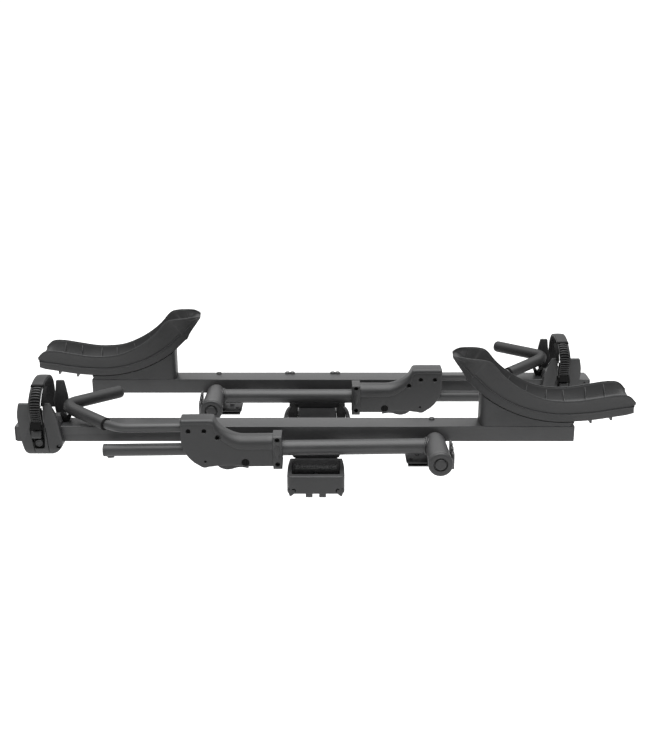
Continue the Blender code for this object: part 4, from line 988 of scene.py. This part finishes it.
def make_buckle(tray):
    x = tray.strap_x
    outline = [(-0.0205, 0.014), (-0.0085, 0.014), (-0.007, 0.017), (-0.007, 0.0285)]
    outline += [(-0.011, 0.03), (-0.016, 0.0335), (-0.0195, 0.03), (-0.0215, 0.019)]
    outline = rounded(shift(outline, 0, 0.0015), 0.0012, 3)
    lever = solid(plate(outline, x - 0.0145, x + 0.008, "YZ"), 0.0012, 3)
    piece("buckle_lever", lever, PLASTIC, "buckle", tray, stands_for="buckle")
    profile = [(0, -0.0166), (0.003, -0.0166), (0.0056, -0.016), (0.0062, -0.017)]
    profile += [(0.0076, -0.0172), (0.0085, -0.016), (0.0085, -0.0085), (0, -0.0085)]
    button = lathe(profile, (x + 0.001, 0, 0.003), "Y", 40)
    piece("round_button", button, PLASTIC, "buckle_button", tray, stands_for="buckle_button")


def make_tray(tray):
    for make in (make_beam, make_wheel_cradle, make_pedestal, make_pivot_bracket, make_arm_tube,
                 make_pivot_bolt, make_ratchet_bar, make_housing, make_collar, make_trigger,
                 make_hook, make_strap_cradle, make_cradle_lock, make_straps, make_buckle,
                 make_saddle):
        make(tray)


# ---- spine, handle ----
def box_tube(half, base, top, ends, radius, wall):
    """A hollow box section along Y with rounded outer corners."""
    section = rounded(oblong(-half, base, half, top), radius, 6)
    tube = solid(loft([[Vector((x, y, z)) for x, z in section] for y in ends]))
    return cut(tube, box((-half + wall, ends[0] - 0.01, base + wall),
                         (half - wall, ends[1] + 0.01, top - wall)))


def make_spine():
    low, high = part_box("spine_tube")
    tube = box_tube(SPINE_HALF, SPINE_LOW, SPINE_TOP, (low.y, high.y), 0.0065, 0.0035)
    piece("spine_tube_skin", tube, COAT, "trays", stands_for="spine_tube")
    for name, side in (("spine_rail_left", -1), ("spine_rail_right", 1)):
        low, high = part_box(name)
        start = max(low.y, RAIL_REAR)
        middle, reach = (start + high.y) / 2, (high.y - start) / 2
        outer, inner = [], []
        for t in (-1 + 2 * i / 24 for i in range(25)):
            x = 0.077 + 0.009 * (1 - t**4) * (1 + 0.2 * t)
            outer.append((side * x, middle + t * reach))
            inner.append((side * (x - 0.0095), middle + t * reach))
        rail = solid(plate(outer + inner[::-1], high.z - 0.014, high.z + 0.0005, "XY"), 0.0024, 4)
        piece(name + "_skin", rail, COAT, "trays", stands_for=name)
        left, right = sorted((side * (SPINE_HALF + 0.0006), side * 0.0745))
        # A black sheet between spine and rail: painted shade for the dark gap there.
        painted_shade_sheet = box((left, start + 0.01, high.z - 0.004), (right, high.y + 0.03, high.z - 0.001))
        piece(name + "_web", painted_shade_sheet, SHADE, "trays")
        left, right = sorted((side * (SPINE_HALF + 0.0004), side * (SPINE_HALF + 0.0026)))
        edge = box((left, start + 0.006, SPINE_TOP - 0.012),
                   (right, high.y - 0.006, SPINE_TOP + 0.001))
        piece(name + "_edge", solid(edge, 0.0008, 2), COAT, "trays")


def make_saddle(tray):
    name = tray.name + "_saddle"
    low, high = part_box(name)
    top, base = high.z, low.z
    drops = [(-0.235, 0.005), (-0.2, 0.009), (-0.165, 0.013), (-0.135, 0.016), (-0.11, 0.018)]
    half = spline([(x, top - drop) for x, drop in drops + [(-0.076, 0.021)]], 5)
    half += [(-0.062, top - 0.026), (-0.054, base)]
    outline = [(-0.235, top)] + half + [(-x, z) for x, z in reversed(half)] + [(0.235, top)]
    saddle = solid(plate(outline, low.y, high.y, "XZ"), 0.0022, 3)
    piece(name + "_skin", saddle, COAT, "trays", stands_for=name)


def make_handle():
    low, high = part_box("handle_frame")
    top, under = GRIP_TOP, GRIP_UNDER
    rear, front = low.y, high.y
    grip, root = 0.066, 0.062
    outline = [(-root, front), (-grip, front - 0.04), (-grip, rear)]
    outline += [(-x, y) for x, y in reversed(outline)]
    outline = rounded(outline, [0.003, 0.02, 0.014, 0.014, 0.02, 0.003], 7)
    grip_frame = solid(plate(outline, under, top, "XY"), 0.005, 4)
    window = rounded(oblong(-0.056, rear + 0.015, 0.056, front - 0.0125), 0.005, 4)
    cut(grip_frame, plate(window, under - 0.02, top + 0.02, "XY"))
    cut(grip_frame, rod(0.0055, front - 0.02, front + 0.02, (0, 0, 0.044), "Y", 24))
    spots = [(x, rear, under + 0.0085) for x in (-GRIP_SCREW_X, GRIP_SCREW_X)]
    for spot in spots:
        cut(grip_frame, recess(0.0046, 0.01, spot, lip=0.001))
    piece("grip_frame", grip_frame, PLASTIC, "trays", stands_for="handle_frame", angle=32)
    tabs = [box((x - 0.008, rear + 0.004, under - 0.01), (x + 0.008, rear + 0.014, under + 0.004))
            for x in (-0.0155, 0.0155)]
    for side in (-1, 1):
        foot = [(0.0655, under + 0.012), (0.06, under - 0.0055), (0.056, under - 0.005)]
        foot += [(0.048, under + 0.002), (0.048, under + 0.01)]
        foot = rounded([(side * x, z) for x, z in foot], 0.0015, 3)
        tabs.append(plate(foot, rear + 0.0005, rear + 0.012, "XZ"))
    piece("grip_tabs", solid(joined(*tabs), 0.0014, 3), PLASTIC, "trays")
    pins = [rod(0.0034, 0.0065, 0.009, spot, "Y", 20, 0.0006) for spot in spots]
    piece("grip_screws", joined(*pins), SHADE, "trays")

    low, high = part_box("handle_lever")
    crest, near = 0.079, low.y - 0.006
    bar = [(near, 0.0735), (near + 0.014, 0.0735), (near + 0.014, crest - 0.003)]
    bar += [(near + 0.011, crest), (near + 0.003, crest), (near, crest - 0.003)]
    lever = solid(plate(bar, -0.05, 0.05, "YZ"), 0.001, 3)
    # A black sheet under the grip's window: painted shade for the dark inside of the grip.
    shelf = rounded(oblong(-0.057, low.y, 0.057, high.y + 0.045), 0.004)
    piece("grip_floor", plate(shelf, 0.039, 0.042, "XY"), SHADE, "trays")
    piece("squeeze_bar", lever, COAT, "tilt_release", stands_for="handle_lever")
    ridges = []
    for x in (-0.048 + 0.006 * i for i in range(17)):
        ridges.append(box((x - 0.0014, near - 0.0015, 0.074),
                          (x + 0.0014, near + 0.012, crest + 0.0014)))
    piece("squeeze_ridges", solid(joined(*ridges), 0.0006, 2), COAT, "tilt_release")


def make_hitch():
    """The hidden drive keeps its CAD solids; only the shank's visible parts get rounder skins."""
    low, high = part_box("hitch_shank")
    tube = box_tube(high.x, -high.x, high.x, (low.y, high.y), 0.005, 0.005)
    cut(tube, rod(0.00825, -0.05, 0.05, (0, 0, 0), "X", 32))
    piece("shank_skin", tube, COAT, "shank", stands_for="hitch_shank")


make_hitch()
make_spine()
make_handle()
OUTER = Tray("outer", False, ARM_SAG, OUTER_STRAP_X)
INNER = Tray("inner", True, 0.0, INNER_STRAP_X)
make_tray(OUTER)
make_tray(INNER)

BY_SLOT = {slot: finish for finish, slot in reversed(SLOTS.items())}
for name, kept in frame["nodes"].items():
    if not kept.hide_render:
        slots = [s.material.name for s in kept.material_slots if s.material]
        finish = next((BY_SLOT[k] for k in BY_SLOT if slots and slots[0].startswith(k)), COAT)
        kept.data.materials.clear()
        kept.data.materials.append(finish)

# ---- floor, light, camera ----
bpy.ops.mesh.primitive_plane_add(size=FLOOR_SIZE, location=(0, 200, CAD_BOX[0].z - FLOOR_DROP))
floor = bpy.context.object
floor.name = "studio_floor"
paint = bpy.data.materials.new("studio_floor")
paint.use_nodes = True
matt = paint.node_tree.nodes["Principled BSDF"].inputs
matt["Base Color"].default_value = (FLOOR_TONE, FLOOR_TONE, FLOOR_TONE, 1)
matt["Roughness"].default_value = 0.9
matt["Specular IOR Level"].default_value = 0.1
floor.data.materials.append(paint)

scene = bpy.context.scene
scene.view_settings.view_transform = "Standard"
scene.view_settings.look = "None"
scene.world = scene.world or bpy.data.worlds.new("studio")
scene.world.use_nodes = True
tree = scene.world.node_tree
background = tree.nodes["Background"].inputs
background[0].default_value = (1, 1, 1, 1)
way = node(tree, "SeparateXYZ", inputs={0: node(tree, "TexCoord").outputs["Generated"]})
glow = ramp_range(tree, way.outputs["Y"], 0.15, 0.8, ROOM_GLOW, BACKDROP_GLOW)
tree.links.new(glow, background[1])

lamp = bpy.data.lights.new("overhead_soft", "SUN")
lamp.energy = SUN_STRENGTH
lamp.angle = radians(SUN_SPREAD)
sun = bpy.data.objects.new("overhead_soft", lamp)
sun.rotation_euler = (radians(SUN_TILT), 0, 0)
scene.collection.objects.link(sun)

lens = bpy.data.cameras.new("view")
lens.lens = CAMERA_LENS
lens.sensor_width = SENSOR_WIDTH
lens.clip_end = 200
camera = bpy.data.objects.new("view", lens)
camera.location = CAMERA_SPOT
camera.rotation_euler = (radians(CAMERA_PITCH), 0, 0)
scene.collection.objects.link(camera)
scene.camera = camera
